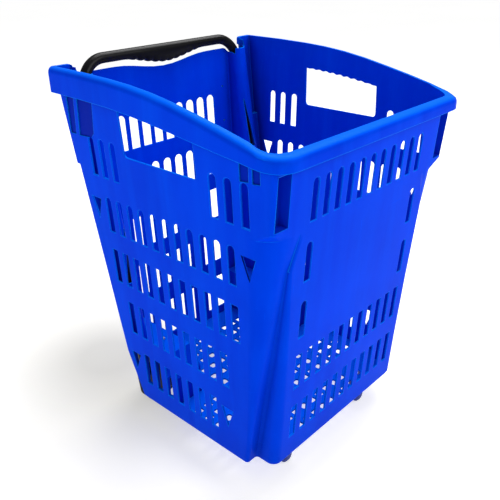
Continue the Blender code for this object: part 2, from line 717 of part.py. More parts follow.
def build_guide(s, z0, z1, screw_z, name):
    rings = []
    for z in (z0, z1):
        yd = YD0 + YD1 * z
        yr = rod_y(z)
        r = CH_R - 0.0004
        p = [(0.1220, yd + 0.0003), (0.1220, yd + 0.0033), (ROD_X + r, yd + 0.0033), (ROD_X + r, yr)]
        p += [(ROD_X + r * math.cos(math.radians(a)), yr + r * math.sin(math.radians(a)))
              for a in (-30, -60, -90, -120, -150)]
        p += [(ROD_X - r, yr), (ROD_X - r, yd + 0.0003)]
        rings.append([(s * x, y, z) for x, y in p])
    g = loft(name, rings, black())
    bore = tube_between("bore", Vector((s * ROD_X, rod_y(z0 - 0.01), z0 - 0.01)),
                        Vector((s * ROD_X, rod_y(z1 + 0.01), z1 + 0.01)), 0.0083, 12)
    boolean(g, bore, "DIFFERENCE")
    y = YD0 + YD1 * screw_z
    hole = tube_between("hole", (s * 0.1310, y - 0.002, screw_z), (s * 0.1310, y + 0.008, screw_z), 0.0018, 8)
    boolean(g, hole, "DIFFERENCE")
    return g


def build_screw(name, at, direction, head_r, head_h, shank_r, length, mat):
    """Pan-head screw; 'at' is the seat under the head, 'direction' points along the shank."""
    d = Vector(direction).normalized()
    u = d.orthogonal().normalized()
    w = d.cross(u)
    at = Vector(at)
    n = 8
    rings = []
    for t, r in ((-head_h, head_r * 0.62), (-head_h * 0.55, head_r), (0.0, head_r), (0.0, shank_r),
                 (length - shank_r, shank_r), (length, shank_r * 0.3)):
        c = at + d * t
        rings.append([c + u * (r * math.cos(2 * math.pi * (i + 0.5) / n)) + w * (r * math.sin(2 * math.pi * (i + 0.5) / n))
                      for i in range(n)])
    return loft(name, rings, mat)


WHEEL_Z = WHEEL_R - GROUND
CHEEK_OUT = (0.1482, 0.1511)
CHEEK_IN = (0.1239, 0.1268)


def build_bracket(s, name):
    top = WELL_TOP - 0.0003
    prof = [(0.0780, top), (0.0780, 0.0230), (0.1240, -0.0340), (0.1300, -0.0375), (0.1600, -0.0375), (0.1655, -0.0320),
            (0.1700, -0.0050), (0.1765, 0.0220), (0.1765, top)]
    b = prism(name, prof, "X", s * CHEEK_IN[0], s * CHEEK_OUT[1], black())
    low = [(0.070, -0.05), (0.070, 0.0080), (0.120, 0.0120), (0.175, 0.0120), (0.195, 0.0080), (0.195, -0.05)]
    boolean(b, prism("low", low, "X", s * CHEEK_IN[1], s * CHEEK_OUT[0]), "DIFFERENCE")
    boolean(b, box("up", min(s * CHEEK_IN[1], s * CHEEK_OUT[0]), max(s * CHEEK_IN[1], s * CHEEK_OUT[0]),
                   0.070, 0.192, 0.0155, top - 0.0030), "DIFFERENCE")
    boolean(b, tube_between("ax", (s * 0.11, WHEEL_Y, WHEEL_Z), (s * 0.16, WHEEL_Y, WHEEL_Z), 0.0033, 12), "DIFFERENCE")
    for y in BRACKET_SCREW_Y:
        boolean(b, tube_between("sc", (s * WHEEL_X, y, top - 0.006), (s * WHEEL_X, y, top + 0.004), 0.0022, 8),
                "DIFFERENCE")
    return b


def build_hub(s, name):
    h = WHEEL_W / 2
    prof = [(-h, 0.0034), (-h, 0.0072), (-0.0035, 0.0080), (-0.0035, 0.0150), (-h + 0.0006, 0.0164),
            (-h + 0.0006, 0.0182), (h - 0.0006, 0.0182), (h - 0.0006, 0.0164), (0.0035, 0.0150),
            (0.0035, 0.0080), (h, 0.0072), (h, 0.0034)]
    o = revolve(name, prof, 16, black())
    o.data.transform(Matrix.Translation((s * WHEEL_X, WHEEL_Y, WHEEL_Z)))
    return place(o, (s * WHEEL_X, WHEEL_Y, WHEEL_Z))


def build_tyre(s, name):
    h = WHEEL_W / 2
    prof = [(-h + 0.0006, 0.0187), (-h + 0.0002, 0.0218), (-h + 0.0026, WHEEL_R), (h - 0.0026, WHEEL_R),
            (h - 0.0002, 0.0218), (h - 0.0006, 0.0187)]
    o = revolve(name, prof, 24, rubber())
    o.data.transform(Matrix.Translation((s * WHEEL_X, WHEEL_Y, WHEEL_Z)))
    return place(o, (s * WHEEL_X, WHEEL_Y, WHEEL_Z))


def build_axle(s, name):
    n = 10
    rings = []
    for x, r in ((CHEEK_OUT[1] + 0.0019, 0.0036), (CHEEK_OUT[1] + 0.0012, 0.0052), (CHEEK_OUT[1] + 0.0002, 0.0052),
                 (CHEEK_OUT[1] + 0.0002, 0.0030), (CHEEK_IN[0] - 0.0040, 0.0030), (CHEEK_IN[0] - 0.0048, 0.0022)):
        rings.append([(s * x, WHEEL_Y + r * math.cos(2 * math.pi * i / n), WHEEL_Z + r * math.sin(2 * math.pi * i / n))
                      for i in range(n)])
    return loft(name, rings, steel())


def build_nut(s, name):
    prof = [(-0.0009, 0.0033), (-0.0009, 0.0058), (0.0009, 0.0058), (0.0009, 0.0033)]
    o = revolve(name, prof, 10, steel())
    o.data.transform(Matrix.Translation((s * (CHEEK_IN[0] - 0.0012), WHEEL_Y, WHEEL_Z)))
    return o


def build_foot(s, name):
    rings = []
    n = 12
    for z, a, b in ((FLOOR_Z - FLOOR_T - 0.0003, 0.0150, 0.0135), (-0.0200, 0.0130, 0.0115), (-0.0340, 0.0112, 0.0098),
                    (-0.0415, 0.0088, 0.0074), (-0.0450, 0.0052, 0.0042)):
        rings.append([(s * FOOT_X + a * abs(math.cos(2 * math.pi * i / n)) ** 0.75 * (1 if math.cos(2 * math.pi * i / n) >= 0 else -1),
                       FOOT_Y + b * abs(math.sin(2 * math.pi * i / n)) ** 0.75 * (1 if math.sin(2 * math.pi * i / n) >= 0 else -1), z)
                      for i in range(n)])
    f = loft(name, rings, navy())
    boolean(f, tube_between("sc", (s * FOOT_X, FOOT_Y, -0.006), (s * FOOT_X, FOOT_Y, 0.02), 0.0023, 8), "DIFFERENCE")
    return f


# ------------------------------------------------------------------- assembly
NODES = []


def add(ob, name):
    ob.name = name
    ob.data.name = name
    NODES.append(ob)
    return ob


def build_all():
    shell = build_shell()
    cut_slots(shell)
    cut_recesses(shell)
    cut_fixings(shell)
    shell.data.materials.clear()
    shell.data.materials.append(blue())
    add(shell, "basket_shell")
    add(place(build_bow(), frame_pt(0, 0)), "handle_bow")
    for s, side in ((-1, "left"), (1, "right")):
        add(place(build_rod(s, "rod"), frame_pt(s * ROD_X, -ARM_END)), "handle_rod_" + side)
        add(place(build_cap(s, "cap"), frame_pt(s * ROD_X, -0.50)), "rod_stop_" + side)
        for k, (tag, (z0, z1), zs) in enumerate(zip(("lower", "upper"), GUIDES, GUIDE_SCREW_Z)):
            add(build_guide(s, z0, z1, zs, "guide"), "rod_guide_" + tag + "_" + side)
            y = YD0 + YD1 * zs + 0.0033
            d = Vector((0, -1, YD1)).normalized()
            add(build_screw("sc", Vector((s * 0.1310, y + 0.0003, zs)), d, 0.0036, 0.0022, 0.0015, 0.0058, steel()),
                "guide_screw_" + tag + "_" + side)
        add(build_bracket(s, "br"), "wheel_bracket_" + side)
        for i, y in enumerate(BRACKET_SCREW_Y):
            add(build_screw("sc", (s * WHEEL_X, y, WELL_TOP + T + 0.0003), (0, 0, -1), 0.0042, 0.0026, 0.0018, 0.0088, steel()),
                "bracket_screw_" + ("front_" if i == 0 else "rear_") + side)
        add(build_hub(s, "hub"), "wheel_hub_" + side)
        add(build_tyre(s, "tyre"), "wheel_tyre_" + side)
        add(build_axle(s, "axle"), "wheel_axle_" + side)
        add(build_nut(s, "nut"), "axle_push_nut_" + side)
        add(build_foot(s, "foot"), "front_foot_" + side)
        add(build_screw("sc", (s * FOOT_X, FOOT_Y, FLOOR_Z + 0.0003), (0, 0, -1), 0.0045, 0.0024, 0.0019, 0.0150, steel()),
            "foot_screw_" + side)
    total = 0
    for ob in NODES:
        tidy(ob)
        shade(ob, not ob.name.startswith(("basket", "rod_guide", "wheel_bracket")))
        ob.location = ob.location + Vector((0.0, Y_SHIFT, GROUND))
        total += len(ob.data.polygons)
    return total


build_all()
bpy.context.view_layer.update()
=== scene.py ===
# Visual model of the rolling shop basket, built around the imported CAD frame.
# All sizes in metres.  The basket is made in its own coordinates (z = 0 at its lower edge)
# and lifted onto the floor at the end, exactly as the CAD part is.
import json
import math
import bpy
import bmesh
from mathutils import Vector, Matrix

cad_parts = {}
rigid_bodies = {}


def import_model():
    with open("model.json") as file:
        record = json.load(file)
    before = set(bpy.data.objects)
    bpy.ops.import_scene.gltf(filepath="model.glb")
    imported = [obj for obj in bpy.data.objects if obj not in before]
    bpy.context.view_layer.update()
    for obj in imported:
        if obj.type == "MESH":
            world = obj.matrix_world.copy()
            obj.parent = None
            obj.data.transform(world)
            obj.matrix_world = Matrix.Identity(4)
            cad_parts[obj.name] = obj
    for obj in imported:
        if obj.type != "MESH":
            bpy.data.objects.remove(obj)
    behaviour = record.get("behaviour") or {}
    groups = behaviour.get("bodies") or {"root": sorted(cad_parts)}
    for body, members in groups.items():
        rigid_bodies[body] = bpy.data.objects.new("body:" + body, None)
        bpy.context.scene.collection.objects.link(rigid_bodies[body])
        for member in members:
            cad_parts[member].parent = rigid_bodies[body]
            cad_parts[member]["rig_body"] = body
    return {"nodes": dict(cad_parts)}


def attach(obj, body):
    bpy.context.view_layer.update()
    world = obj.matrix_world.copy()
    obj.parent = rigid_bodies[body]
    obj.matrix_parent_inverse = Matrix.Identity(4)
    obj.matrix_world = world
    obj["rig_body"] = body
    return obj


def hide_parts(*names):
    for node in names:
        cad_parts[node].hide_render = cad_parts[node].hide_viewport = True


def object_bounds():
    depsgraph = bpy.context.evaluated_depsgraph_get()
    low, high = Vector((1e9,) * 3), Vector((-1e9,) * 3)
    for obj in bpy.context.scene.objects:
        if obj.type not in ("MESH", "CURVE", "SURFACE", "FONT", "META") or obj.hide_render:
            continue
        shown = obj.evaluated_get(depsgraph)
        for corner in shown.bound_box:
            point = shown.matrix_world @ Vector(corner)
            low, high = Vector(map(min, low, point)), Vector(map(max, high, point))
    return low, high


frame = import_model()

scene = bpy.context.scene
CAD_LO, CAD_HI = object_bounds()
CAD_LO, CAD_HI = list(CAD_LO), list(CAD_HI)


def make(name, verts, faces, mat=None, smooth=False):
    me = bpy.data.meshes.new(name)
    me.from_pydata([tuple(v) for v in verts], [], faces)
    me.validate(verbose=False)
    ob = bpy.data.objects.new(name, me)
    scene.collection.objects.link(ob)
    bm = bmesh.new()
    bm.from_mesh(me)
    bmesh.ops.recalc_face_normals(bm, faces=bm.faces)
    bm.to_mesh(me)
    bm.free()
    if mat:
        me.materials.append(mat)
    return ob


# ----------------------------------------------------------------- dimensions
GROUND = 0.045          # shell bottom edge above the floor
Y_SHIFT = -0.0033       # centres the whole assembly on Y
T = 0.0024              # wall thickness
XA0, XA1 = 0.1810, 0.0436      # side wall outer face: x = XA0 + XA1 z
YB0, YB1 = -0.1634, -0.0749    # front wall outer face
YD0, YD1 = 0.1970, 0.0380      # rear wall outer face
X_NOTCH = 0.160         # inner wall of the front corner flutes
RIM_X, RIM_Y, RIM_R = 0.2141, -0.2140, 0.036
RIM_BACK = 0.2175
ROD_X, ROD_R = 0.163, 0.0078
ROD_Y0, ROD_SLOPE = 0.1198, 0.168
CH_R = 0.012            # rod channel radius in the shell
FLOOR_Z, FLOOR_T = 0.012, 0.0032
WHEEL_Y, WHEEL_R = 0.146, 0.024
WHEEL_X, WHEEL_W = 0.1375, 0.0200
WELL_X0, WELL_X1 = 0.1180, 0.1775
WELL_Y0, WELL_Y1 = 0.0400, 0.2300       # the wells run out through the rear wall
WELL_TOP = 0.0960
SLOT_W = 0.0115
LUG_Z = 0.405

TILT = math.atan(ROD_SLOPE)              # rods lean backwards going up
AXIS = Vector((0.0, math.sin(TILT), math.cos(TILT)))


def rod_y(z):
    return ROD_Y0 + ROD_SLOPE * z


def loft(name, rings, mat=None, closed=False):
    n = len(rings[0])
    verts, faces = [], []
    for r in rings:
        verts += [Vector(p) for p in r]
    m = len(rings)
    for j in range(m if closed else m - 1):
        a, b = j * n, ((j + 1) % m) * n
        for i in range(n):
            k = (i + 1) % n
            faces.append((a + i, a + k, b + k, b + i))
    if not closed:
        faces.append(tuple(range(n - 1, -1, -1)))
        faces.append(tuple((m - 1) * n + i for i in range(n)))
    return make(name, verts, faces, mat)


def box(name, x0, x1, y0, y1, z0, z1, mat=None):
    v = [(x, y, z) for z in (z0, z1) for y in (y0, y1) for x in (x0, x1)]
    f = [(0, 2, 3, 1), (4, 5, 7, 6), (0, 1, 5, 4), (2, 6, 7, 3), (0, 4, 6, 2), (1, 3, 7, 5)]
    return make(name, v, f, mat)


def prism(name, poly, axis, a, b, mat=None):
    """Extrude a 2-D polygon between a and b along axis 'X', 'Y' or 'Z'."""
    def p3(p, t):
        if axis == "X":
            return (t, p[0], p[1])
        if axis == "Y":
            return (p[0], t, p[1])
        return (p[0], p[1], t)
    return loft(name, [[p3(p, a) for p in poly], [p3(p, b) for p in poly]], mat)


def join(name, obs):
    """Merge disjoint helper solids into one mesh."""
    bm = bmesh.new()
    for o in obs:
        me = o.data.copy()
        me.transform(o.matrix_world)
        bm.from_mesh(me)
        bpy.data.meshes.remove(me)
    me = bpy.data.meshes.new(name)
    bm.to_mesh(me)
    bm.free()
    for o in obs:
        bpy.data.objects.remove(o, do_unlink=True)
    ob = bpy.data.objects.new(name, me)
    scene.collection.objects.link(ob)
    return ob


def boolean(ob, cutter, op, keep=False):
    md = ob.modifiers.new("b", "BOOLEAN")
    md.operation = op
    md.solver = "EXACT"
    md.object = cutter
    cutter.hide_render = True
    cutter.display_type = "WIRE"
    dg = bpy.context.evaluated_depsgraph_get()
    dg.update()
    me = bpy.data.meshes.new_from_object(ob.evaluated_get(dg))
    ob.modifiers.clear()
    old = ob.data
    ob.data = me
    me.name = old.name
    bpy.data.meshes.remove(old)
    if not keep:
        bpy.data.objects.remove(cutter, do_unlink=True)
    return ob


def tube_between(name, p, q, r, n=16, mat=None, r2=None):
    p, q = Vector(p), Vector(q)
    d = (q - p).normalized()
    u = d.orthogonal().normalized()
    w = d.cross(u)
    rings = []
    for c, rr in ((p, r), (q, r if r2 is None else r2)):
        rings.append([c + (u * math.cos(2 * math.pi * i / n) + w * math.sin(2 * math.pi * i / n)) * rr
                      for i in range(n)])
    return loft(name, rings, mat)


def arc(cx, cy, r, a0, a1, n):
    return [(cx + r * math.cos(math.radians(a0 + (a1 - a0) * i / n)),
             cy + r * math.sin(math.radians(a0 + (a1 - a0) * i / n))) for i in range(n + 1)]


def half_outline(z, q=1, t=0.0):
    """Right half of the plan outline at height z, front centre to rear centre.
    t offsets the outline inwards by one wall thickness for the inside face."""
    zz = max(z, 0.0)
    xa = XA0 + XA1 * z
    yb = YB0 + YB1 * z
    yd = YD0 + YD1 * z
    lug = z > LUG_Z
    shoulder = max(0.0, min(1.0, (z - 0.383) / 0.014))       # widens into the front stacking lug
    ye = -0.128 - 0.163 * zz
    w = 1.0 if lug else max(0.0, min(1.0, (z - 0.335) / (0.383 - 0.335)))
    depth = max(ye - yb, 0.004)
    rb = min(0.014, depth * 0.62)
    rc = min(0.005, depth * 0.30)
    crown = max(0.0, min(1.0, (z - 0.4745) / 0.010))         # rounder again above the lug
    rl = (1 - shoulder) * (0.005 + 0.0376 * (min(zz, 0.389) / 0.389) ** 1.5) + shoulder * (0.007 + 0.023 * crown)
    xl = xa - rl
    if w < 1.0:
        xl = max(xl, X_NOTCH + rc + 0.0025)
    yl = (1 - w) * ye + w * yb
    rl = xa - xl
    xn = X_NOTCH - t
    rb2 = max(rb - t, 0.0015)
    rc2 = min(rc + t, depth - rb2 - 0.0004, xl - 0.0012 - xn)
    notch = arc(xn - rb2, yb + t + rb2, rb2, -90, 0, 3 * q)
    notch += arc(xn + rc2, ye + t - rc2, rc2, 180, 90, 2 * q)
    k = len(notch)
    x0, x1 = 0.138, xl - 0.003
    flat = [(x0 + (x1 - x0) * i / (k - 1), yb + t) for i in range(k)]
    pts = [((1 - w) * a[0] + w * b[0], (1 - w) * a[1] + w * b[1]) for a, b in zip(notch, flat)]
    pts += arc(xl, yl + rl, rl - t, -90, 0, 4 * q)
    # rear edge of the side wall
    yr = rod_y(z)
    if z < 0.083:
        ye2 = 0.1425 + 0.366 * (z - 0.083)
    elif not lug:
        ye2 = 0.1305 + 0.146 * z
    else:
        ye2 = min(0.1965 + 0.130 * (z - LUG_Z), 0.2165)
    yw = min(yr, (ye2 if z < 0.083 else 0.1305 + 0.146 * z) - 0.003)
    rr = CH_R + t
    if t == 0.0:
        r2 = min(0.0035, (xa - ROD_X - CH_R) * 0.45)
        pts += arc(xa - r2, ye2 - r2, r2, 0, 90, 2 * q)
        pts.append((ROD_X + CH_R, ye2))
        phi = 0.0
    else:
        f = max(0.0, min(1.0, (xa - t - ROD_X - rr - 0.003) / 0.004))
        ylip = (1 - f) * (yw - rr * 0.966) + f * max(ye2 - t, yw + 0.0005)
        phi = math.degrees(math.asin(max(-1.0, min(0.0, (ylip - yw) / rr))))
        xs = ROD_X + rr * math.cos(math.radians(phi))
        r2 = min(0.0012, (xa - t - xs) * 0.3)
        pts += arc(xa - t - r2, ylip - r2, r2, 0, 90, 2 * q)
        if ylip > yw + 0.0003:
            pts.append((xs, ylip))
        else:
            pts.append((0.5 * (xs + xa - t - r2), ylip))
    m = 6 * q
    pts += [(ROD_X + rr * math.cos(math.radians(a)), yw + rr * math.sin(math.radians(a)))
            for a in [phi + (-180.0 - phi) * i / m for i in range(m + 1)]]
    xi = ROD_X - rr
    r3 = 0.005 - t * 0.9
    pts += [(xi - r3 + r3 * math.cos(math.radians(a)), yd - t - r3 + r3 * math.sin(math.radians(a)))
            for a in [90.0 * i / (2 * q) for i in range(2 * q + 1)]]
    return pts


def outline(z, q=1, t=0.0):
    h = half_outline(z, q, t)
    return h + [(-x, y) for x, y in reversed(h)]


def ring(z, q=1, t=0.0, shrink=0.0):
    out = []
    for x, y in outline(z, q, t):
        k = 1.0 - shrink / 0.18
        out.append((x * k, y * k, z))
    return out


CREST = [(-0.25, 0.4925), (-0.200, 0.4945), (-0.180, 0.4985), (-0.160, 0.5035), (-0.120, 0.5130),
         (-0.080, 0.5215), (-0.040, 0.5295), (0.000, 0.5358), (0.040, 0.5400), (0.080, 0.5425),
         (0.120, 0.5440), (0.160, 0.5450), (0.25, 0.5455)]
SKIRT = [(-0.25, 0.4745), (-0.205, 0.4755), (-0.180, 0.4790), (-0.158, 0.4820), (-0.110, 0.4872),
         (-0.068, 0.4925), (-0.020, 0.4985), (0.020, 0.5030), (0.060, 0.5064), (0.1025, 0.5088),
         (0.150, 0.5098), (0.25, 0.5110)]


def lerp(tab, y):
    if y <= tab[0][0]:
        return tab[0][1]
    for a, b in zip(tab, tab[1:]):
        if y <= b[0]:
            f = (y - a[0]) / (b[0] - a[0])
            return a[1] + (b[1] - a[1]) * f
    return tab[-1][1]


def rear_edge(x):
    a = abs(x)
    dip = 0.5 * (1 + math.cos(math.pi * a / 0.098)) if a < 0.098 else 0.0
    return 0.5295 - 0.0108 * dip


# rounded step from the rear edge up to the side walls, and the pocket behind the edge
# that clears the bend of the handle


# rounded step from the rear edge up to the side walls, and the pocket behind the edge
# that clears the bend of the handle
REAR_STEP = [(0.1672, 0.5295), (0.1712, 0.5300), (0.1741, 0.5320), (0.1756, 0.5350), (0.1760, 0.5390)]
BEND_RELIEF = [(0.1405, 0.5400), (0.1405, 0.5290), (0.1440, 0.5283), (0.1480, 0.5238), (0.1512, 0.5187),
               (0.1545, 0.5175), (0.1580, 0.5250), (0.1640, 0.5285), (0.1680, 0.5293), (0.1680, 0.5400)]


GUIDES = ((0.3920, 0.4120), (0.4520, 0.4755))       # z range of the two rod guides
GUIDE_SCREW_Z = (0.4020, 0.4640)
BRACKET_SCREW_Y = (0.1050, 0.1700)
FOOT_X, FOOT_Y = 0.1000, -0.1330
BAR_Z = 0.5465                                        # crossbar centre
BAR_R, BEND_R = 0.0082, 0.042
ARM_END = 0.0697                                      # bar centre to arm end, along the rods


def build_shell(q=1):
    zo = [0.0045, 0.083, 0.20, 0.30, 0.335, 0.383, 0.397, 0.4047, 0.4053, 0.4745, 0.4845, 0.57]
    rings = [ring(0.0, q, 0.0, 0.0022)] + [ring(z, q) for z in zo]
    body = loft("shell", rings)
    # upper edge follows the arch, with the rear wall cut lower between the rods
    ys = [-0.26 + 0.04 * i for i in range(14)]
    poly = [(y, lerp(CREST, y) - 0.004) for y in ys] + [(ys[-1], 0.62), (ys[0], 0.62)]
    boolean(body, prism("topcut", poly, "X", -0.3, 0.3), "DIFFERENCE")
    half = [(0.02 * i, rear_edge(0.02 * i)) for i in range(6)] + REAR_STEP
    poly = [(-x, z) for x, z in reversed(half[1:])] + half + [(0.1760, 0.62), (-0.1760, 0.62)]
    boolean(body, prism("rearcut", poly, "Y", 0.172, 0.30), "DIFFERENCE")
    for s in (1, -1):
        poly = [(s * x, z) for x, z in BEND_RELIEF]
        boolean(body, prism("relief", poly, "Y", 0.1965, 0.30), "DIFFERENCE")
    # rolled rim with a hanging skirt on the front and both sides
    st = []
    arc_n = 4 * q
    for i in range(3):
        a = math.radians(90 - 45 * i)
        st.append((RIM_X - 0.006 + 0.006 * math.cos(a), RIM_BACK - 0.006 + 0.006 * math.sin(a), None))
    ysides = [0.14, 0.08, 0.04, 0.0, -0.04, -0.08, -0.12, -0.16]
    st += [(RIM_X, y, None) for y in ysides]
    for i in range(arc_n + 1):
        a = math.radians(-90.0 * i / arc_n)
        st.append((RIM_X - RIM_R + RIM_R * math.cos(a), RIM_Y + RIM_R + RIM_R * math.sin(a), math.degrees(a)))
    st = st + [(-x, y, s) for x, y, s in reversed(st)]
    rings = []
    for x, y, s in st:
        sg = 1 if x > 0 else -1
        zc, zb = lerp(CREST, y), lerp(SKIRT, y)
        xa, yb = XA0 + XA1 * zc, YB0 + YB1 * zc
        if s is None:
            yy = min(y, RIM_BACK)
            wl = Vector((sg * min(xa, abs(x) + 0.0), yy, 0))
            wi = Vector((sg * (xa - 0.007), yy, 0))
            n = Vector((sg, 0, 0))
        else:
            rw, ri = 0.030, 0.0230
            c, sn = math.cos(math.radians(s)), math.sin(math.radians(s))
            wl = Vector((sg * (xa - rw + rw * c), yb + rw + rw * sn, 0))
            wi = Vector((sg * (xa - rw + ri * c), yb + rw + ri * sn, 0))
            n = Vector((sg * c, sn, 0))
        po = Vector((x, y, 0))
        wid = (po - wl)
        t = 0.0024
        sec = []

        def at(v, z):
            return (v.x, v.y, z)
        sec.append(at(po, zb))
        sec.append(at(po, zc - 0.0085))
        sec.append(at(po - wid * 0.10, zc - 0.0048))
        sec.append(at(po - wid * 0.35, zc - 0.0018))
        sec.append(at(po - wid * 0.72, zc - 0.0002))
        sec.append(at(wl, zc))
        sec.append(at(wi, zc))
        sec.append(at(wi, zc - 0.008))
        inn = po - wid.normalized() * t if wid.length > 0.004 else po - n * t
        mid = wl - (wl - wi) * 0.20
        sec.append(at(mid, zc - 0.0085))
        sec.append(at(inn, zc - 0.0100))
        sec.append(at(inn, zb))
        rings.append(sec)
    rim = loft("rim", rings)
    boolean(body, rim, "UNION")
    for s in (1, -1):
        heel = [(0.1761, 0.5320), (0.1761, 0.5418), (0.1769, 0.5439), (0.1790, 0.5450), (0.1850, 0.5453),
                (0.1990, 0.5453), (0.1990, 0.5320)]
        boolean(body, prism("heel", [(s * x, z) for x, z in heel], "Y", 0.2085, 0.2168), "UNION")
    # inside of the basket
    zi = [FLOOR_Z, 0.03, 0.083, 0.20, 0.30, 0.335, 0.383, 0.397, 0.4047, 0.4053, 0.4745, 0.4845, 0.57, 0.60]
    rings = []
    for z in zi:
        p = ring(z, q, T, 0.0022 if z == FLOOR_Z else 0.0)
        if z in (0.4047, 0.4053):
            p = [(x, y, z + T) for x, y, _ in p]
        rings.append(p)
    cavity = loft("cavity", rings)
    keep = []
    for s in (1, -1):
        prof = [(WELL_Y0 - T, -0.01), (WELL_Y0 - T, WELL_TOP - 0.030), (WELL_Y0 + 0.022, WELL_TOP + T),
                (0.22, WELL_TOP + T), (0.22, -0.01)]
        keep.append(prism("wo", prof, "X", s * (WELL_X0 - T), s * 0.195))
        px = [(s * 0.1690, -0.240), (s * 0.1985, -0.240), (s * 0.1985, -0.1755), (s * 0.1690, -0.1755)]
        keep.append(prism("po", px, "Z", 0.3975, 0.4720))
    boolean(cavity, join("keep", keep), "DIFFERENCE")
    boolean(body, cavity, "DIFFERENCE")
    # underside recess below the floor plate
    h = [(0.0, YB0 + 0.004), (0.136, YB0 + 0.004), (0.149, YB0 + 0.010), (0.1535, YB0 + 0.024), (0.1545, -0.127),
         (0.167, -0.1225), (0.1755, -0.112), (0.1772, -0.095), (0.1772, 0.0935), (0.1640, 0.1035), (0.1480, 0.112),
         (0.1460, 0.1935)]
    poly = h + [(-x, y) for x, y in reversed(h[1:])]
    boolean(body, prism("under", poly, "Z", -0.01, FLOOR_Z - FLOOR_T), "DIFFERENCE")
    cut = []
    for s in (1, -1):
        prof = [(WELL_Y0, -0.02), (WELL_Y0, WELL_TOP - 0.031), (WELL_Y0 + 0.0225, WELL_TOP),
                (WELL_Y1, WELL_TOP), (WELL_Y1, -0.02)]
        cut.append(prism("wi", prof, "X", s * WELL_X0, s * WELL_X1))
        px = [(s * 0.1718, -0.250), (s * 0.1950, -0.250), (s * 0.1950, -0.1785), (s * 0.1718, -0.1785)]
        cut.append(prism("pi", px, "Z", 0.4005, 0.4690))
    boolean(body, join("wells", cut), "DIFFERENCE")
    return body


ROW_A = [  # z bottom, z top, rounded, [centres along y]
    (0.3960, 0.4535, True, [0.1484, 0.1243, 0.0990, -0.0985, -0.1243, -0.1510]),
    (0.3090, 0.3645, True, [0.1281 - 0.02507 * i for i in range(11)]),
    (0.2210, 0.2775, False, [0.1307 - 0.02533 * i for i in range(11)]),
    (0.1310, 0.1885, False, [0.1112 - 0.02574 * i for i in range(9)]),
    (0.0385, 0.0960, False, [0.0890 - 0.02565 * i for i in range(7)]),
]
ROW_B = [
    (0.3940, 0.4500, True, [-0.1227 + 0.02454 * i for i in range(11)]),
    (0.3090, 0.3650, True, [-0.1245, 0.1245]),
    (0.2210, 0.2780, True, [-0.1250, 0.1250]),
    (0.1330, 0.1905, False, [-0.1250 + 0.0250 * i for i in range(11)]),
    (0.0420, 0.0990, False, [-0.1250 + 0.0250 * i for i in range(11)]),
]
ROW_D = [
    (0.3960, 0.4534, True, [-0.0990 + 0.02475 * i for i in range(9)], 0.0160),
    (0.3090, 0.3645, True, [-0.0917 + 0.0262 * i for i in range(8)], 0.0160),
    (0.2210, 0.2775, False, [-0.0917 + 0.0262 * i for i in range(8)], 0.0160),
    (0.1310, 0.1885, False, [-0.0917 + 0.0262 * i for i in range(8)], 0.0160),
    (0.0280, 0.0950, False, [-0.0917 + 0.0262 * i for i in range(8)], 0.0160),
]


def slot_poly(c, w, z0, z1, rounded, q=1):
    h = w / 2.0
    if not rounded:
        return [(c - h, z0), (c + h, z0), (c + h, z1), (c - h, z1)]
    pts = [(c - h, z0), (c + h, z0)]
    n = 3 if q == 1 else 8
    zc = z1 - h
    for i in range(n + 1):
        a = math.pi * i / n
        pts.append((c + h * math.cos(a), zc + h * math.sin(a)))
    return pts


def tri_poly(yc, z0, z1, w, skew):
    return [(yc - w / 2, z1), (yc + skew, z0), (yc + w / 2, z1)]


def wall_prism(poly, s, d0, d1):
    """Prism between two offsets of the leaning side wall, polygon in (y, z)."""
    rings = []
    for d in (d0, d1):
        rings.append([(s * (XA0 + XA1 * z + d), y, z) for y, z in poly])
    return loft("w", rings)


def floor_hole(x, y, q):
    hx, hy, r = 0.0066, 0.0061, 0.0030
    if q == 1:
        return prism("f", [(x - hx, y - hy), (x + hx, y - hy), (x + hx, y + hy), (x - hx, y + hy)], "Z", 0.004, 0.016)
    pts = []
    for sx, sy, a in ((1, -1, -90), (1, 1, 0), (-1, 1, 90), (-1, -1, 180)):
        pts += arc(x + sx * (hx - r), y + sy * (hy - r), r, a, a + 90, 4)
    return prism("f", pts, "Z", 0.004, 0.016)


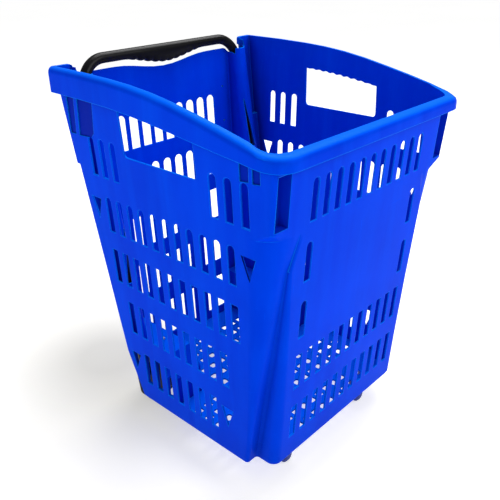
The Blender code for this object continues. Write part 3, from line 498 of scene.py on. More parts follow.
def cut_slots(body, q=1):
    cut = []
    for s in (1, -1):
        for z0, z1, rd, ys in ROW_A:
            xm = XA0 + XA1 * 0.5 * (z0 + z1)
            for y in ys:
                cut.append(prism("s", slot_poly(y, SLOT_W, z0, z1, rd, q), "X",
                                 s * (xm - (0.0120 if z0 < 0.1 else 0.0064)), s * (xm + 0.006)))
        for yc, z0, z1, w, sk in ((-0.1520, 0.3245, 0.3565, 0.0215, -0.0005), (0.1580, 0.3270, 0.3580, 0.0215, -0.0010),
                                  (-0.0940, 0.0560, 0.0885, 0.0215, 0.0008), (0.1170, 0.0590, 0.0885, 0.0200, 0.0030)):
            xm = XA0 + XA1 * 0.5 * (z0 + z1)
            cut.append(prism("t", tri_poly(yc, z0, z1, w, sk), "X",
                             s * (xm - (0.0120 if z0 < 0.1 else 0.0064)), s * (xm + 0.006)))
        # hand hole
        xm = XA0 + XA1 * 0.47
        r, n = 0.006, (2 if q == 1 else 5)
        poly = []
        for i in range(n + 1):
            a = math.radians(180 + 90 * i / n)
            poly.append((-0.0715 + r + r * math.cos(a), 0.4385 + r + r * math.sin(a)))
        for i in range(n + 1):
            a = math.radians(270 + 90 * i / n)
            poly.append((0.0725 - r + r * math.cos(a), 0.4385 + r + r * math.sin(a)))
        m = 64
        for i in range(m + 1):
            f = i / m
            y = 0.0745 - 0.1435 * f
            wave = 0.0010 * max(0.0, math.sin(math.pi * f)) ** 0.5 * math.cos(2 * math.pi * f * 10)
            poly.append((y, 0.5015 - 0.0135 * f ** 1.6 + wave))
        cut.append(prism("h", poly, "X", s * (xm - 0.0075), s * (xm + 0.0065)))
    for z0, z1, rd, xs in ROW_B:
        ym = YB0 + YB1 * 0.5 * (z0 + z1)
        for x in xs:
            cut.append(prism("s", slot_poly(x, SLOT_W - 0.0005, z0, z1, rd, q), "Y", ym - 0.0085, ym + 0.0085))
    for z0, z1, rd, xs, w in ROW_D:
        ym = YD0 + YD1 * 0.5 * (z0 + z1)
        for x in xs:
            cut.append(prism("s", slot_poly(x, w, z0, z1, rd, q), "Y", ym - 0.008, ym + 0.008))
    boolean(body, join("slots", cut), "DIFFERENCE")
    # floor openings
    cut = []
    nx, ny = 16, 13
    for j in range(ny):
        y = -0.1403 + 0.0240 * j
        for i in range(nx):
            x = -0.15375 + 0.0205 * i
            if y < -0.10 and abs(x) > 0.13:
                continue
            if y > 0.015 and abs(x) > 0.100:
                continue
            if 0.085 < abs(x) < 0.120 and y < -0.10:
                continue
            cut.append(floor_hole(x, y, q))
    boolean(body, join("floorcut", cut), "DIFFERENCE")
    return body


RODSLITS = ((0.4410, 0.1535, 0.1545, 0.3550, 0.1558, 0.1660), (0.2930, 0.1545, 0.1560, 0.2040, 0.1550, 0.1690))


def cut_recesses(body, q=1):
    cut = []
    for s in (1, -1):
        # shallow nesting recesses under the rim
        for poly in ([(-0.1590, 0.4560), (-0.1450, 0.4545), (-0.1450, 0.4900), (-0.1600, 0.4870)],
                     [(-0.1770, 0.4570), (-0.1650, 0.4555), (-0.1650, 0.4860), (-0.1770, 0.4840)],
                     [(0.1375, 0.4600), (0.1450, 0.4530), (0.1740, 0.4515), (0.1660, 0.5180), (0.1290, 0.5180)],
                     [(0.1825, 0.4520), (0.1960, 0.4520), (0.1925, 0.5180), (0.1735, 0.5180)]):
            cut.append(wall_prism(poly, s, -0.0016, 0.0060))
        # tapering slits through the front wall of the rod channel
        for za, xa0, xa1, zb, xb0, xb1 in RODSLITS:
            rings = []
            for z, x0, x1 in ((za, xa0, xa1), (zb, xb0, xb1)):
                yc = rod_y(z)
                rings.append([(s * x0, yc - 0.0210, z), (s * x1, yc - 0.0210, z),
                              (s * x1, yc - 0.0040, z), (s * x0, yc - 0.0040, z)])
            cut.append(loft("slit", rings))
    boolean(body, join("recess", cut), "DIFFERENCE")
    return body


def cut_fixings(body, q=1):
    cut = []
    n = 8
    for s in (1, -1):
        for z in GUIDE_SCREW_Z:
            y = YD0 + YD1 * z
            cut.append(tube_between("g", (s * 0.1310, y - 0.006, z), (s * 0.1310, y + 0.006, z), 0.0018, n))
        for y in BRACKET_SCREW_Y:
            cut.append(tube_between("b", (s * WHEEL_X, y, WELL_TOP - 0.004), (s * WHEEL_X, y, WELL_TOP + 0.008), 0.0022, n))
        cut.append(tube_between("f", (s * FOOT_X, FOOT_Y, 0.003), (s * FOOT_X, FOOT_Y, 0.020), 0.0022, n))
    boolean(body, join("fix", cut), "DIFFERENCE")
    return body


def frame_pt(x, s, n=0.0):
    """Point in the leaning handle plane: x across, s along the rods, n to the rear."""
    c = Vector((0.0, rod_y(BAR_Z), BAR_Z))
    nn = Vector((0.0, AXIS.z, -AXIS.y))
    return c + Vector((x, 0, 0)) + AXIS * s + nn * n


WHEEL_Z = WHEEL_R - GROUND
CHEEK_OUT = (0.1482, 0.1511)
CHEEK_IN = (0.1239, 0.1268)


# ------------------------------------------------------------------ materials
def nodes_of(name):
    m = bpy.data.materials.new(name)
    m.use_nodes = True
    nt = m.node_tree
    nt.nodes.clear()
    out = nt.nodes.new("ShaderNodeOutputMaterial")
    b = nt.nodes.new("ShaderNodeBsdfPrincipled")
    nt.links.new(b.outputs["BSDF"], out.inputs["Surface"])
    return m, nt, b


def noise(nt, vec, scale, detail=3.0, rough=0.5, distortion=0.0):
    n = nt.nodes.new("ShaderNodeTexNoise")
    n.inputs["Scale"].default_value = scale
    n.inputs["Detail"].default_value = detail
    n.inputs["Roughness"].default_value = rough
    n.inputs["Distortion"].default_value = distortion
    nt.links.new(vec, n.inputs["Vector"])
    return n.outputs["Fac"]


def mapped(nt, vec, scale, rot=(0, 0, 0)):
    n = nt.nodes.new("ShaderNodeMapping")
    n.inputs["Scale"].default_value = scale
    n.inputs["Rotation"].default_value = rot
    nt.links.new(vec, n.inputs["Vector"])
    return n.outputs["Vector"]


def ramp(nt, fac, stops):
    n = nt.nodes.new("ShaderNodeValToRGB")
    e = n.color_ramp.elements
    while len(e) < len(stops):
        e.new(0.5)
    for k, (p, v) in enumerate(stops):
        e[k].position = p
        e[k].color = (v, v, v, 1.0) if isinstance(v, (int, float)) else (v[0], v[1], v[2], 1.0)
    nt.links.new(fac, n.inputs["Fac"])
    return n.outputs["Color"]


def mix(nt, fac, a, b, mode="MIX"):
    n = nt.nodes.new("ShaderNodeMix")
    n.data_type = "RGBA"
    n.blend_type = mode
    n.clamp_factor = True
    for sock, v in ((n.inputs[0], fac), (n.inputs[6], a), (n.inputs[7], b)):
        if isinstance(v, (int, float)):
            sock.default_value = v
        elif isinstance(v, tuple):
            sock.default_value = (v[0], v[1], v[2], 1.0)
        else:
            nt.links.new(v, sock)
    return n.outputs[2]


def mathn(nt, op, a, b=0.0, clamp=False):
    n = nt.nodes.new("ShaderNodeMath")
    n.operation = op
    n.use_clamp = clamp
    for sock, v in ((n.inputs[0], a), (n.inputs[1], b)):
        if isinstance(v, (int, float)):
            sock.default_value = v
        else:
            nt.links.new(v, sock)
    return n.outputs[0]


def edge_wear_and_highlight_mask(nt, radius):
    """1 on the small radii along the moulding's edges, 0 on open faces."""
    bev = nt.nodes.new("ShaderNodeBevel")
    bev.samples = 6
    bev.inputs["Radius"].default_value = radius
    geo = nt.nodes.new("ShaderNodeNewGeometry")
    d = nt.nodes.new("ShaderNodeVectorMath")
    d.operation = "DOT_PRODUCT"
    nt.links.new(bev.outputs["Normal"], d.inputs[0])
    nt.links.new(geo.outputs["Normal"], d.inputs[1])
    return ramp(nt, d.outputs["Value"], ((0.90, 1.0), (0.996, 0.0))), bev.outputs["Normal"]


def plastic(name, base, deep, pale, rough, spec, coat=0.0, coat_rough=0.15, grain=0.04, grain_scale=1400.0,
            flow=(26.0, 26.0, 2.2), edge=0.0, edge_radius=0.0009, edge_highlight_tint=None, scuffs=0.25, painted_crease_shade=0.0,
            metal=0.0, tint=None, painted_hollow_shade=0.0, crown=None):
    """Moulded plastic: mottled colour, flow streaks, fine grain and scuffs; paler edges that are partly wear and partly
    painted highlight; optional painted shade in creases and hollows from ambient occlusion and a painted highlight on
    faces turned upwards.
    """
    m, nt, b = nodes_of(name)
    tc = nt.nodes.new("ShaderNodeTexCoord").outputs["Object"]
    broad = noise(nt, tc, 7.0, 4.0, 0.55)
    streak = noise(nt, mapped(nt, tc, flow), 1.0, 5.0, 0.6, 0.3)
    speck = noise(nt, tc, 260.0, 2.0, 0.6)
    col = mix(nt, ramp(nt, broad, ((0.32, 0.0), (0.68, 1.0))), deep, base)
    col = mix(nt, mathn(nt, "MULTIPLY", ramp(nt, streak, ((0.42, 0.0), (0.72, 1.0))), 0.30), col, pale)
    col = mix(nt, mathn(nt, "MULTIPLY", ramp(nt, speck, ((0.62, 0.0), (0.80, 1.0))), 0.10), col, pale)
    # hairline scuffs in two directions
    s1 = ramp(nt, noise(nt, mapped(nt, tc, (9.0, 9.0, 420.0), (0.55, 0.35, 0.2)), 1.0, 2.0, 0.5), ((0.695, 0.0), (0.73, 1.0)))
    s2 = ramp(nt, noise(nt, mapped(nt, tc, (380.0, 300.0, 7.0), (0.25, -0.5, 0.4)), 1.0, 2.0, 0.5), ((0.70, 0.0), (0.735, 1.0)))
    patch = ramp(nt, noise(nt, tc, 11.0, 2.0, 0.5), ((0.45, 0.0), (0.62, 1.0)))
    sc = mathn(nt, "MULTIPLY", mathn(nt, "MAXIMUM", s1, s2), patch)
    col = mix(nt, mathn(nt, "MULTIPLY", sc, scuffs), col, pale)
    # painted shade: ambient occlusion darkens the colour in creases, slots and recesses; the wide second pass darkens
    # it deep inside hollows such as the basket's interior
    if painted_crease_shade > 0:
        ao = nt.nodes.new("ShaderNodeAmbientOcclusion")
        ao.samples = 4
        ao.inputs["Distance"].default_value = 0.022
        k = ramp(nt, ao.outputs["AO"], ((0.15, 1.0 - painted_crease_shade), (0.85, 1.0)))
        col = mix(nt, 1.0, col, k, "MULTIPLY")
        if painted_hollow_shade > 0:
            wide = nt.nodes.new("ShaderNodeAmbientOcclusion")
            wide.samples = 6
            wide.inputs["Distance"].default_value = 0.30
            kw = ramp(nt, wide.outputs["AO"], ((0.30, 1.0 - painted_hollow_shade), (0.72, 1.0)))
            col = mix(nt, 1.0, col, kw, "MULTIPLY")
    # painted highlight: faces turned upwards are mixed towards the lighter crown colour
    if crown:
        geo = nt.nodes.new("ShaderNodeNewGeometry")
        sep = nt.nodes.new("ShaderNodeSeparateXYZ")
        nt.links.new(geo.outputs["Normal"], sep.inputs[0])
        up = mathn(nt, "MULTIPLY", ramp(nt, sep.outputs["Z"], ((0.55, 0.0), (0.95, 1.0))), 0.75)
        col = mix(nt, up, col, crown)
    # paler edges along small radii: partly wear, partly painted highlight; the shell's light-blue edge tint is a
    # painted highlight on the slot edges
    if edge > 0:
        em, nrm = edge_wear_and_highlight_mask(nt, edge_radius)
        col = mix(nt, mathn(nt, "MULTIPLY", em, edge), col, edge_highlight_tint or pale)
    nt.links.new(col, b.inputs["Base Color"])
    r = mathn(nt, "MULTIPLY_ADD", ramp(nt, streak, ((0.3, 0.0), (0.75, 1.0))), 0.12)
    nt.nodes[-1].inputs[2].default_value = rough - 0.05
    r = mathn(nt, "ADD", r, mathn(nt, "MULTIPLY", sc, 0.22))
    nt.links.new(r, b.inputs["Roughness"])
    fine = noise(nt, tc, grain_scale, 2.0, 0.6)
    wavy = noise(nt, mapped(nt, tc, (flow[0] * 0.8, flow[1] * 0.8, flow[2] * 2.0)), 1.0, 2.0, 0.5)
    b1 = nt.nodes.new("ShaderNodeBump")
    b1.inputs["Strength"].default_value = 0.20
    b1.inputs["Distance"].default_value = 0.0012
    nt.links.new(wavy, b1.inputs["Height"])
    b2 = nt.nodes.new("ShaderNodeBump")
    b2.inputs["Strength"].default_value = grain
    b2.inputs["Distance"].default_value = 0.0004
    nt.links.new(fine, b2.inputs["Height"])
    if edge > 0:
        nt.links.new(nrm, b1.inputs["Normal"])
    nt.links.new(b1.outputs["Normal"], b2.inputs["Normal"])
    nt.links.new(b2.outputs["Normal"], b.inputs["Normal"])
    b.inputs["Specular IOR Level"].default_value = spec
    if tint:
        b.inputs["Specular Tint"].default_value = (tint[0], tint[1], tint[2], 1.0)
    b.inputs["Metallic"].default_value = metal
    b.inputs["Coat Weight"].default_value = coat
    b.inputs["Coat Roughness"].default_value = coat_rough
    m.diffuse_color = (base[0], base[1], base[2], 1.0)
    return m


# shell blue: painted shade in creases and deep inside the basket, painted highlight on upward faces and painted
# light-blue highlights along the slot edges
BLUE = plastic("shell_blue", (0.0, 0.049, 0.79), (0.0, 0.039, 0.69), (0.0, 0.098, 0.95), 0.34, 0.01,
               grain=0.08, edge=0.90, edge_highlight_tint=(0.0, 0.260, 1.0), edge_radius=0.0014, scuffs=0.35, painted_crease_shade=0.60,
               metal=0.06, tint=(0.0, 0.55, 1.0), painted_hollow_shade=0.24, crown=(0.0, 0.150, 1.0))
# darker copy of the shell blue: painted shade for the recess floors under the rim
BLUE_RECESS_PAINTED_SHADE = plastic("shell_blue_recess_painted_shade", (0.0, 0.014, 0.40), (0.0, 0.010, 0.30), (0.0, 0.030, 0.56), 0.45, 0.02,
                    grain=0.12, scuffs=0.1, painted_crease_shade=0.5, metal=0.15, tint=(0.0, 0.50, 1.0))
# slightly darker copy of the shell blue without the occlusion darkening: painted shade for the pockets of the front
# stacking lugs
BLUE_POCKET_PAINTED_SHADE = plastic("shell_blue_pocket_painted_shade", (0.0, 0.040, 0.66), (0.0, 0.030, 0.56), (0.0, 0.080, 0.80), 0.42, 0.02,
                      grain=0.10, scuffs=0.1, metal=0.10, tint=(0.0, 0.50, 1.0))
GLOSS = plastic("handle_gloss_black", (0.0052, 0.0052, 0.0055), (0.0036, 0.0036, 0.0040), (0.015, 0.015, 0.016), 0.31, 0.12,
                coat=0.03, coat_rough=0.16, grain=0.08, grain_scale=900.0, flow=(3.0, 60.0, 60.0), edge=0.35,
                edge_radius=0.0006, scuffs=0.30)
ROD = plastic("rod_black", (0.0050, 0.0050, 0.0056), (0.0034, 0.0034, 0.0038), (0.015, 0.015, 0.016), 0.34, 0.18,
              grain=0.06, grain_scale=900.0, flow=(70.0, 70.0, 3.0), edge=0.3, edge_radius=0.0005, scuffs=0.45)
BLACK = plastic("black_polypropylene", (0.0060, 0.0060, 0.0066), (0.0035, 0.0035, 0.0040), (0.018, 0.018, 0.019), 0.50, 0.12,
                grain=0.35, grain_scale=1100.0, edge=0.55, edge_radius=0.0007, scuffs=0.35, painted_crease_shade=0.3)
# feet in the shell's blue plastic, darkened to navy: painted shade for their place under the basket
FOOT_BLUE_PAINTED_SHADE = plastic("foot_blue_painted_shade", (0.004, 0.020, 0.230), (0.003, 0.013, 0.160), (0.020, 0.055, 0.36), 0.48, 0.28,
               grain=0.25, grain_scale=1000.0, edge=0.5, edge_radius=0.0007, scuffs=0.45)
RUBBER = plastic("tyre_rubber", (0.0075, 0.0075, 0.0078), (0.0045, 0.0045, 0.0048), (0.034, 0.033, 0.031), 0.78, 0.22,
                 grain=0.55, grain_scale=1500.0, flow=(60.0, 8.0, 8.0), edge=0.4, edge_radius=0.0008, scuffs=0.30)
ZINC = plastic("zinc_plated_steel", (0.52, 0.53, 0.55), (0.36, 0.37, 0.40), (0.72, 0.72, 0.70), 0.34, 0.5,
               grain=0.12, grain_scale=1600.0, flow=(90.0, 90.0, 90.0), edge=0.4, edge_radius=0.0003, scuffs=0.6, metal=1.0)


# ------------------------------------------------------------------ finishing
def smooth_by_angle(ob, deg=32.0):
    me = ob.data
    for p in me.polygons:
        p.use_smooth = True
    me.set_sharp_from_angle(angle=math.radians(deg))


def soften(ob, width, seg=2, deg=32.0):
    md = ob.modifiers.new("edge", "BEVEL")
    md.width = width
    md.segments = seg
    md.limit_method = "ANGLE"
    md.angle_limit = math.radians(deg)
    md.use_clamp_overlap = True
    md.harden_normals = False


def clean(ob, angle=0.15):
    bm = bmesh.new()
    bm.from_mesh(ob.data)
    bmesh.ops.remove_doubles(bm, verts=bm.verts, dist=0.00002)
    bmesh.ops.dissolve_limit(bm, angle_limit=math.radians(angle), verts=bm.verts, edges=bm.edges,
                             use_dissolve_boundaries=False)
    bmesh.ops.dissolve_degenerate(bm, dist=0.00001, edges=bm.edges)
    bm.to_mesh(ob.data)
    bm.free()


def stand_for(ob, name, mat, *cad):
    """Lift the piece onto the floor frame and let it stand for its CAD node."""
    ob.name = name
    ob.data.name = name
    if mat is not None:
        ob.data.materials.clear()
        ob.data.materials.append(mat)
    ob.data.transform(Matrix.Translation((0.0, Y_SHIFT, GROUND)))
    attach(ob, frame["nodes"][cad[0]]["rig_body"])
    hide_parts(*cad)
    return ob


def turn(name, prof, at, direction, n=40, ring_shape=False):
    """Surface of revolution: prof = [(distance along the axis, radius)...]."""
    d = Vector(direction).normalized()
    u = d.orthogonal().normalized()
    w = d.cross(u)
    at = Vector(at)
    rings = []
    for i in range(n):
        a = 2 * math.pi * i / n
        e = u * math.cos(a) + w * math.sin(a)
        rings.append([at + d * t + e * r for t, r in prof])
    if ring_shape:
        return loft(name, rings, closed=True)
    m = len(prof)
    verts, faces = [], []
    for r in rings:
        verts += r
    for i in range(n):
        a, b = i * m, ((i + 1) % n) * m
        for j in range(m - 1):
            faces.append((a + j, b + j, b + j + 1, a + j + 1))
    faces.append(tuple(i * m for i in range(n)))
    faces.append(tuple(((n - 1 - i) * m + m - 1) for i in range(n)))
    return make(name, verts, faces)


# --------------------------------------------------------------------- basket
def grow(poly, e):
    """Offset a convex polygon outwards by e."""
    n = len(poly)
    area2 = sum(poly[i][0] * poly[(i + 1) % n][1] - poly[(i + 1) % n][0] * poly[i][1] for i in range(n))
    sg = 1.0 if area2 > 0 else -1.0
    out = []
    for i in range(n):
        p0, p1, p2 = Vector(poly[i - 1]), Vector(poly[i]), Vector(poly[(i + 1) % n])
        a, b = (p1 - p0).normalized(), (p2 - p1).normalized()
        na, nb = Vector((a.y, -a.x)) * sg, Vector((b.y, -b.x)) * sg
        m = (na + nb)
        m = m / max(m.length_squared * 0.5, 0.25)
        out.append((p1.x + m.x * e, p1.y + m.y * e))
    return out


def chamfer_slots(body, e=0.0010):
    """Small draft bevel round every slot on the outer face of the wall, and round most slots on the inner face."""
    for inner in (False, True):
        cut = []

        def bevel(poly, pos):
            d = (-T + e, -T - 0.0004) if inner else (-e, 0.0004)
            p = (poly, grow(poly, e * 1.4))
            cut.append(loft("c", [[pos(u, z, dd) for u, z in q] for q, dd in zip(p, d)]))

        for s in (1, -1):
            def side(u, z, d, s=s):
                return (s * (XA0 + XA1 * z + d), u, z)
            for z0, z1, rd, ys in ROW_A:
                for y in ys:
                    if inner and (z0 < 0.1 and y > 0.02 or abs(y) > 0.140 or z0 > 0.39 and y > 0.12):
                        continue
                    bevel(slot_poly(y, SLOT_W, z0, z1, rd, 2), side)
            if not inner:
                for yc, z0, z1, w, sk in ((-0.1520, 0.3245, 0.3565, 0.0215, -0.0005), (0.1580, 0.3270, 0.3580, 0.0215, -0.0010),
                                          (-0.0940, 0.0560, 0.0885, 0.0215, 0.0008), (0.1170, 0.0590, 0.0885, 0.0200, 0.0030)):
                    bevel(tri_poly(yc, z0, z1, w, sk), side)

        def front(u, z, d):
            return (u, YB0 + YB1 * z - d, z)

        def back(u, z, d):
            return (u, YD0 + YD1 * z + d, z)
        for z0, z1, rd, xs in ROW_B:
            for x in xs:
                if inner and z0 < 0.06:
                    continue
                bevel(slot_poly(x, SLOT_W - 0.0005, z0, z1, rd, 2), front)
        for z0, z1, rd, xs, w in ROW_D:
            for x in xs:
                bevel(slot_poly(x, w, z0, z1, rd, 2), back)
        boolean(body, join("bevels", cut), "DIFFERENCE")


shell = build_shell(2)
cut_slots(shell, 2)
cut_recesses(shell, 2)
cut_fixings(shell, 2)
chamfer_slots(shell)
clean(shell)
shell.data.materials.clear()
shell.data.materials.append(BLUE)
shell.data.materials.append(BLUE_RECESS_PAINTED_SHADE)
shell.data.materials.append(BLUE_POCKET_PAINTED_SHADE)
for p in shell.data.polygons:
    p.material_index = 0
    c = p.center
    # recess floors under the rim take the darker painted-shade material
    if 0.449 < c.z < 0.518 and abs(p.normal.x) > 0.9 and p.normal.x * c.x > 0 and (c.y < -0.143 or c.y > 0.128):
        wall = XA0 + XA1 * c.z
        if wall - 0.0022 < abs(c.x) < wall - 0.0010:
            p.material_index = 1
    # pocket faces of the front stacking lugs take the pocket painted-shade material
    if 0.4000 < c.z < 0.4695 and 0.1712 < abs(c.x) < 0.1956 and YB0 + YB1 * c.z + 0.0004 < c.y < -0.1778:
        p.material_index = 2
smooth_by_angle(shell, 30.0)
wn = shell.modifiers.new("normals", "WEIGHTED_NORMAL")
wn.keep_sharp = True
wn.weight = 60
stand_for(shell, "basket", None, "basket_shell")


# --------------------------------------------------------------------- handle
def fine_bow():
    st = []
    for ds, r in ((0.0, 0.0098), (0.0004, 0.0103), (0.0010, 0.0105), (0.0045, 0.0105), (0.0054, 0.0102),
                  (0.0060, 0.0095), (0.0066, 0.0086), (0.0080, BAR_R)):
        st.append((-ROD_X, -ARM_END + ds, r))
    st.append((-ROD_X, -ARM_END + 0.018, BAR_R))
    nb = 26
    for i in range(nb + 1):
        a = math.radians(180 - 90 * i / nb)
        st.append((-ROD_X + BEND_R + BEND_R * math.cos(a), -BEND_R + BEND_R * math.sin(a), BAR_R))
    xb = -ROD_X + BEND_R
    ng = 176
    grip = [(xb + (-2 * xb) * i / ng, 0.0, BAR_R) for i in range(1, ng)]
    full = st + grip + [(-x, s, r) for x, s, r in reversed(st)]
    rings = []
    n = 48
    k0 = 9
    for i, (x, s, r) in enumerate(full):
        a = full[max(i - 1, 0)]
        b = full[min(i + 1, len(full) - 1)]
        tx, ts = b[0] - a[0], b[1] - a[1]
        if i < k0:
            tx, ts = 0.0, 1.0
        if i >= len(full) - k0:
            tx, ts = 0.0, -1.0
        l = math.hypot(tx, ts)
        tx, ts = tx / l, ts / l
        ux, us = -ts, tx
        u = abs(x) / 0.088
        swell = 0.0115 * (0.5 + 0.5 * math.cos(math.pi * u)) if u < 1 else 0.0
        fing = 0.0
        if abs(x) < 0.075 and s == 0.0:
            fade = min(1.0, (0.075 - abs(x)) / 0.012)
            ph = (x / 0.0150) % 1.0
            fing = 0.0025 * fade * (abs(math.sin(math.pi * ph)) ** 0.6 - 0.55)
        pts = []
        for k in range(n):
            th = 2 * math.pi * k / n
            c, sn = math.cos(th), math.sin(th)
            up = r * c
            if c < 0:
                up -= swell * min(1.0, (-c) * 1.35)
                up -= fing * max(0.0, -c - 0.25) / 0.75
            side = r * sn * (1.0 + 0.10 * min(1.0, swell / 0.004))
            # moulding parting line along the two sides of the bar
            if abs(abs(sn) - 1.0) < 0.004:
                side *= 1.018
            pts.append(frame_pt(x + ux * up, s + us * up, side))
        rings.append(pts)
    return loft("bow", rings)


bow = fine_bow()
smooth_by_angle(bow, 40.0)
stand_for(bow, "handle_grip", GLOSS, "handle_bow")

for s, side in ((-1, "left"), (1, "right")):
    # rods: drawn tube with a rounded foot and the spigot into the grip arm
    z0 = 0.0330
    s0 = -(BAR_Z - z0) / math.cos(TILT)
    prof = [(s0, ROD_R - 0.0012), (s0 + 0.0004, ROD_R - 0.0004), (s0 + 0.0012, ROD_R),
            (-ARM_END - 0.0016, ROD_R), (-ARM_END - 0.0008, ROD_R - 0.0003), (-ARM_END - 0.0003, ROD_R - 0.0010),
            (-ARM_END - 0.0003, 0.0053), (-ARM_END + 0.0250, 0.0053)]
    rod = turn("rod", prof, frame_pt(s * ROD_X, 0.0), AXIS, 40)
    smooth_by_angle(rod, 35.0)
    stand_for(rod, "rod_" + side, ROD, "handle_rod_" + side)
    # end caps of the rods
    c0 = -(BAR_Z - 0.0290) / math.cos(TILT)
    sb = s0 - 0.0003
    prof = [(c0, 0.0078), (c0 + 0.0004, 0.0088), (c0 + 0.0012, 0.0098), (c0 + 0.0024, 0.0105), (c0 + 0.0036, 0.0108),
            (c0 + 0.0060, 0.0108), (c0 + 0.0062, 0.0104), (c0 + 0.0076, 0.0104), (c0 + 0.0078, 0.0108),
            (c0 + 0.0100, 0.0108), (c0 + 0.0102, 0.0104), (c0 + 0.0116, 0.0104), (c0 + 0.0118, 0.0108),
            (c0 + 0.0180, 0.0108), (c0 + 0.0187, 0.0105), (c0 + 0.0190, 0.0099), (c0 + 0.0190, 0.0082), (sb, 0.0082)]
    cap = turn("cap", prof, frame_pt(s * ROD_X, 0.0), AXIS, 40)
    smooth_by_angle(cap, 40.0)
    stand_for(cap, "rod_end_" + side, BLACK, "rod_stop_" + side)


# --------------------------------------------------- guides, screws, brackets
def pan_screw(name, at, direction, head_r, head_h, shank_r, length):
    prof = []
    for i in range(7):
        a = math.radians(90.0 - 90.0 * i / 6)
        prof.append((-head_h * (0.40 + 0.60 * math.sin(a)), head_r * (0.52 + 0.48 * math.cos(a))))
    prof += [(-head_h * 0.15, head_r), (0.0, head_r * 0.96), (0.0, shank_r)]
    t = 0.0008
    while t < length - 0.0022:
        prof += [(t, shank_r * 0.82), (t + 0.00055, shank_r)]
        t += 0.0011
    prof += [(length - 0.0010, shank_r * 0.75), (length, shank_r * 0.22)]
    o = turn(name, prof, at, direction, 28)
    d = Vector(direction).normalized()
    u = d.orthogonal().normalized()
    w = d.cross(u)
    at = Vector(at)
    arms = []
    for a, b in ((u, w), (w, u)):
        hw, hl = head_r * 0.085, head_r * 0.50
        pts = [at - d * (head_h + 0.0004) + a * (hl * i) + b * (hw * j) for i, j in ((-1, -1), (1, -1), (1, 1), (-1, 1))]
        low = [at - d * (head_h * 0.42) + a * (hl * 0.45 * i) + b * (hw * j) for i, j in ((-1, -1), (1, -1), (1, 1), (-1, 1))]
        arms.append(loft("arm", [pts, low]))
    for c in arms:
        boolean(o, c, "DIFFERENCE")
    smooth_by_angle(o, 38.0)
    return o


def guide(s, z0, z1, screw_z):
    rings = []
    for z in (z0, z1):
        yd = YD0 + YD1 * z
        yr = rod_y(z)
        r = CH_R - 0.0004
        p = [(0.1220, yd + 0.0003), (0.1220, yd + 0.0033), (ROD_X + r, yd + 0.0033), (ROD_X + r, yr)]
        p += [(ROD_X + r * math.cos(math.radians(a)), yr + r * math.sin(math.radians(a))) for a in range(-10, -171, -10)]
        p += [(ROD_X - r, yr), (ROD_X - r, yd + 0.0003)]
        rings.append([(s * x, y, z) for x, y in p])
    g = loft("guide", rings)
    bore = tube_between("bore", Vector((s * ROD_X, rod_y(z0 - 0.01), z0 - 0.01)),
                        Vector((s * ROD_X, rod_y(z1 + 0.01), z1 + 0.01)), 0.0083, 48)
    boolean(g, bore, "DIFFERENCE")
    y = YD0 + YD1 * screw_z
    boolean(g, tube_between("hole", (s * 0.1310, y - 0.002, screw_z), (s * 0.1310, y + 0.008, screw_z), 0.0018, 24),
            "DIFFERENCE")
    clean(g)
    smooth_by_angle(g, 35.0)
    soften(g, 0.0005, 2, 40.0)
    return g


def bracket(s):
    top = WELL_TOP - 0.0003
    prof = [(0.0780, top), (0.0780, 0.0230), (0.1240, -0.0340)]
    prof += [(0.1300 + 0.004 * math.cos(math.radians(a)), -0.0335 + 0.004 * math.sin(math.radians(a))) for a in (235, 270)]
    prof += [(0.1590 + 0.006 * math.cos(math.radians(a)), -0.0315 + 0.006 * math.sin(math.radians(a))) for a in (270, 300, 330, 355)]
    prof += [(0.1700, -0.0050), (0.1765, 0.0220), (0.1765, top)]
    b = prism("bracket", prof, "X", s * CHEEK_IN[0], s * CHEEK_OUT[1])
    low = [(0.070, -0.05), (0.070, 0.0080), (0.120, 0.0120), (0.175, 0.0120), (0.195, 0.0080), (0.195, -0.05)]
    boolean(b, prism("low", low, "X", s * CHEEK_IN[1], s * CHEEK_OUT[0]), "DIFFERENCE")
    boolean(b, box("up", min(s * CHEEK_IN[1], s * CHEEK_OUT[0]), max(s * CHEEK_IN[1], s * CHEEK_OUT[0]),
                   0.070, 0.192, 0.0155, top - 0.0030), "DIFFERENCE")
    boolean(b, tube_between("ax", (s * 0.11, WHEEL_Y, WHEEL_Z), (s * 0.16, WHEEL_Y, WHEEL_Z), 0.0033, 32), "DIFFERENCE")
    for y in BRACKET_SCREW_Y:
        boolean(b, tube_between("sc", (s * WHEEL_X, y, top - 0.006), (s * WHEEL_X, y, top + 0.004), 0.0022, 24),
                "DIFFERENCE")
    # shallow lightening panels pressed into both cheeks
    for x in (CHEEK_OUT[1], CHEEK_IN[0]):
        pan = [(0.0870, 0.0830), (0.0870, 0.0290), (0.1130, 0.0190), (0.1640, 0.0190), (0.1705, 0.0330), (0.1705, 0.0830)]
        boolean(b, prism("pan", pan, "X", s * (x - 0.0008), s * (x + 0.0008)), "DIFFERENCE")
    clean(b)
    smooth_by_angle(b, 35.0)
    soften(b, 0.0005, 2, 40.0)
    return b


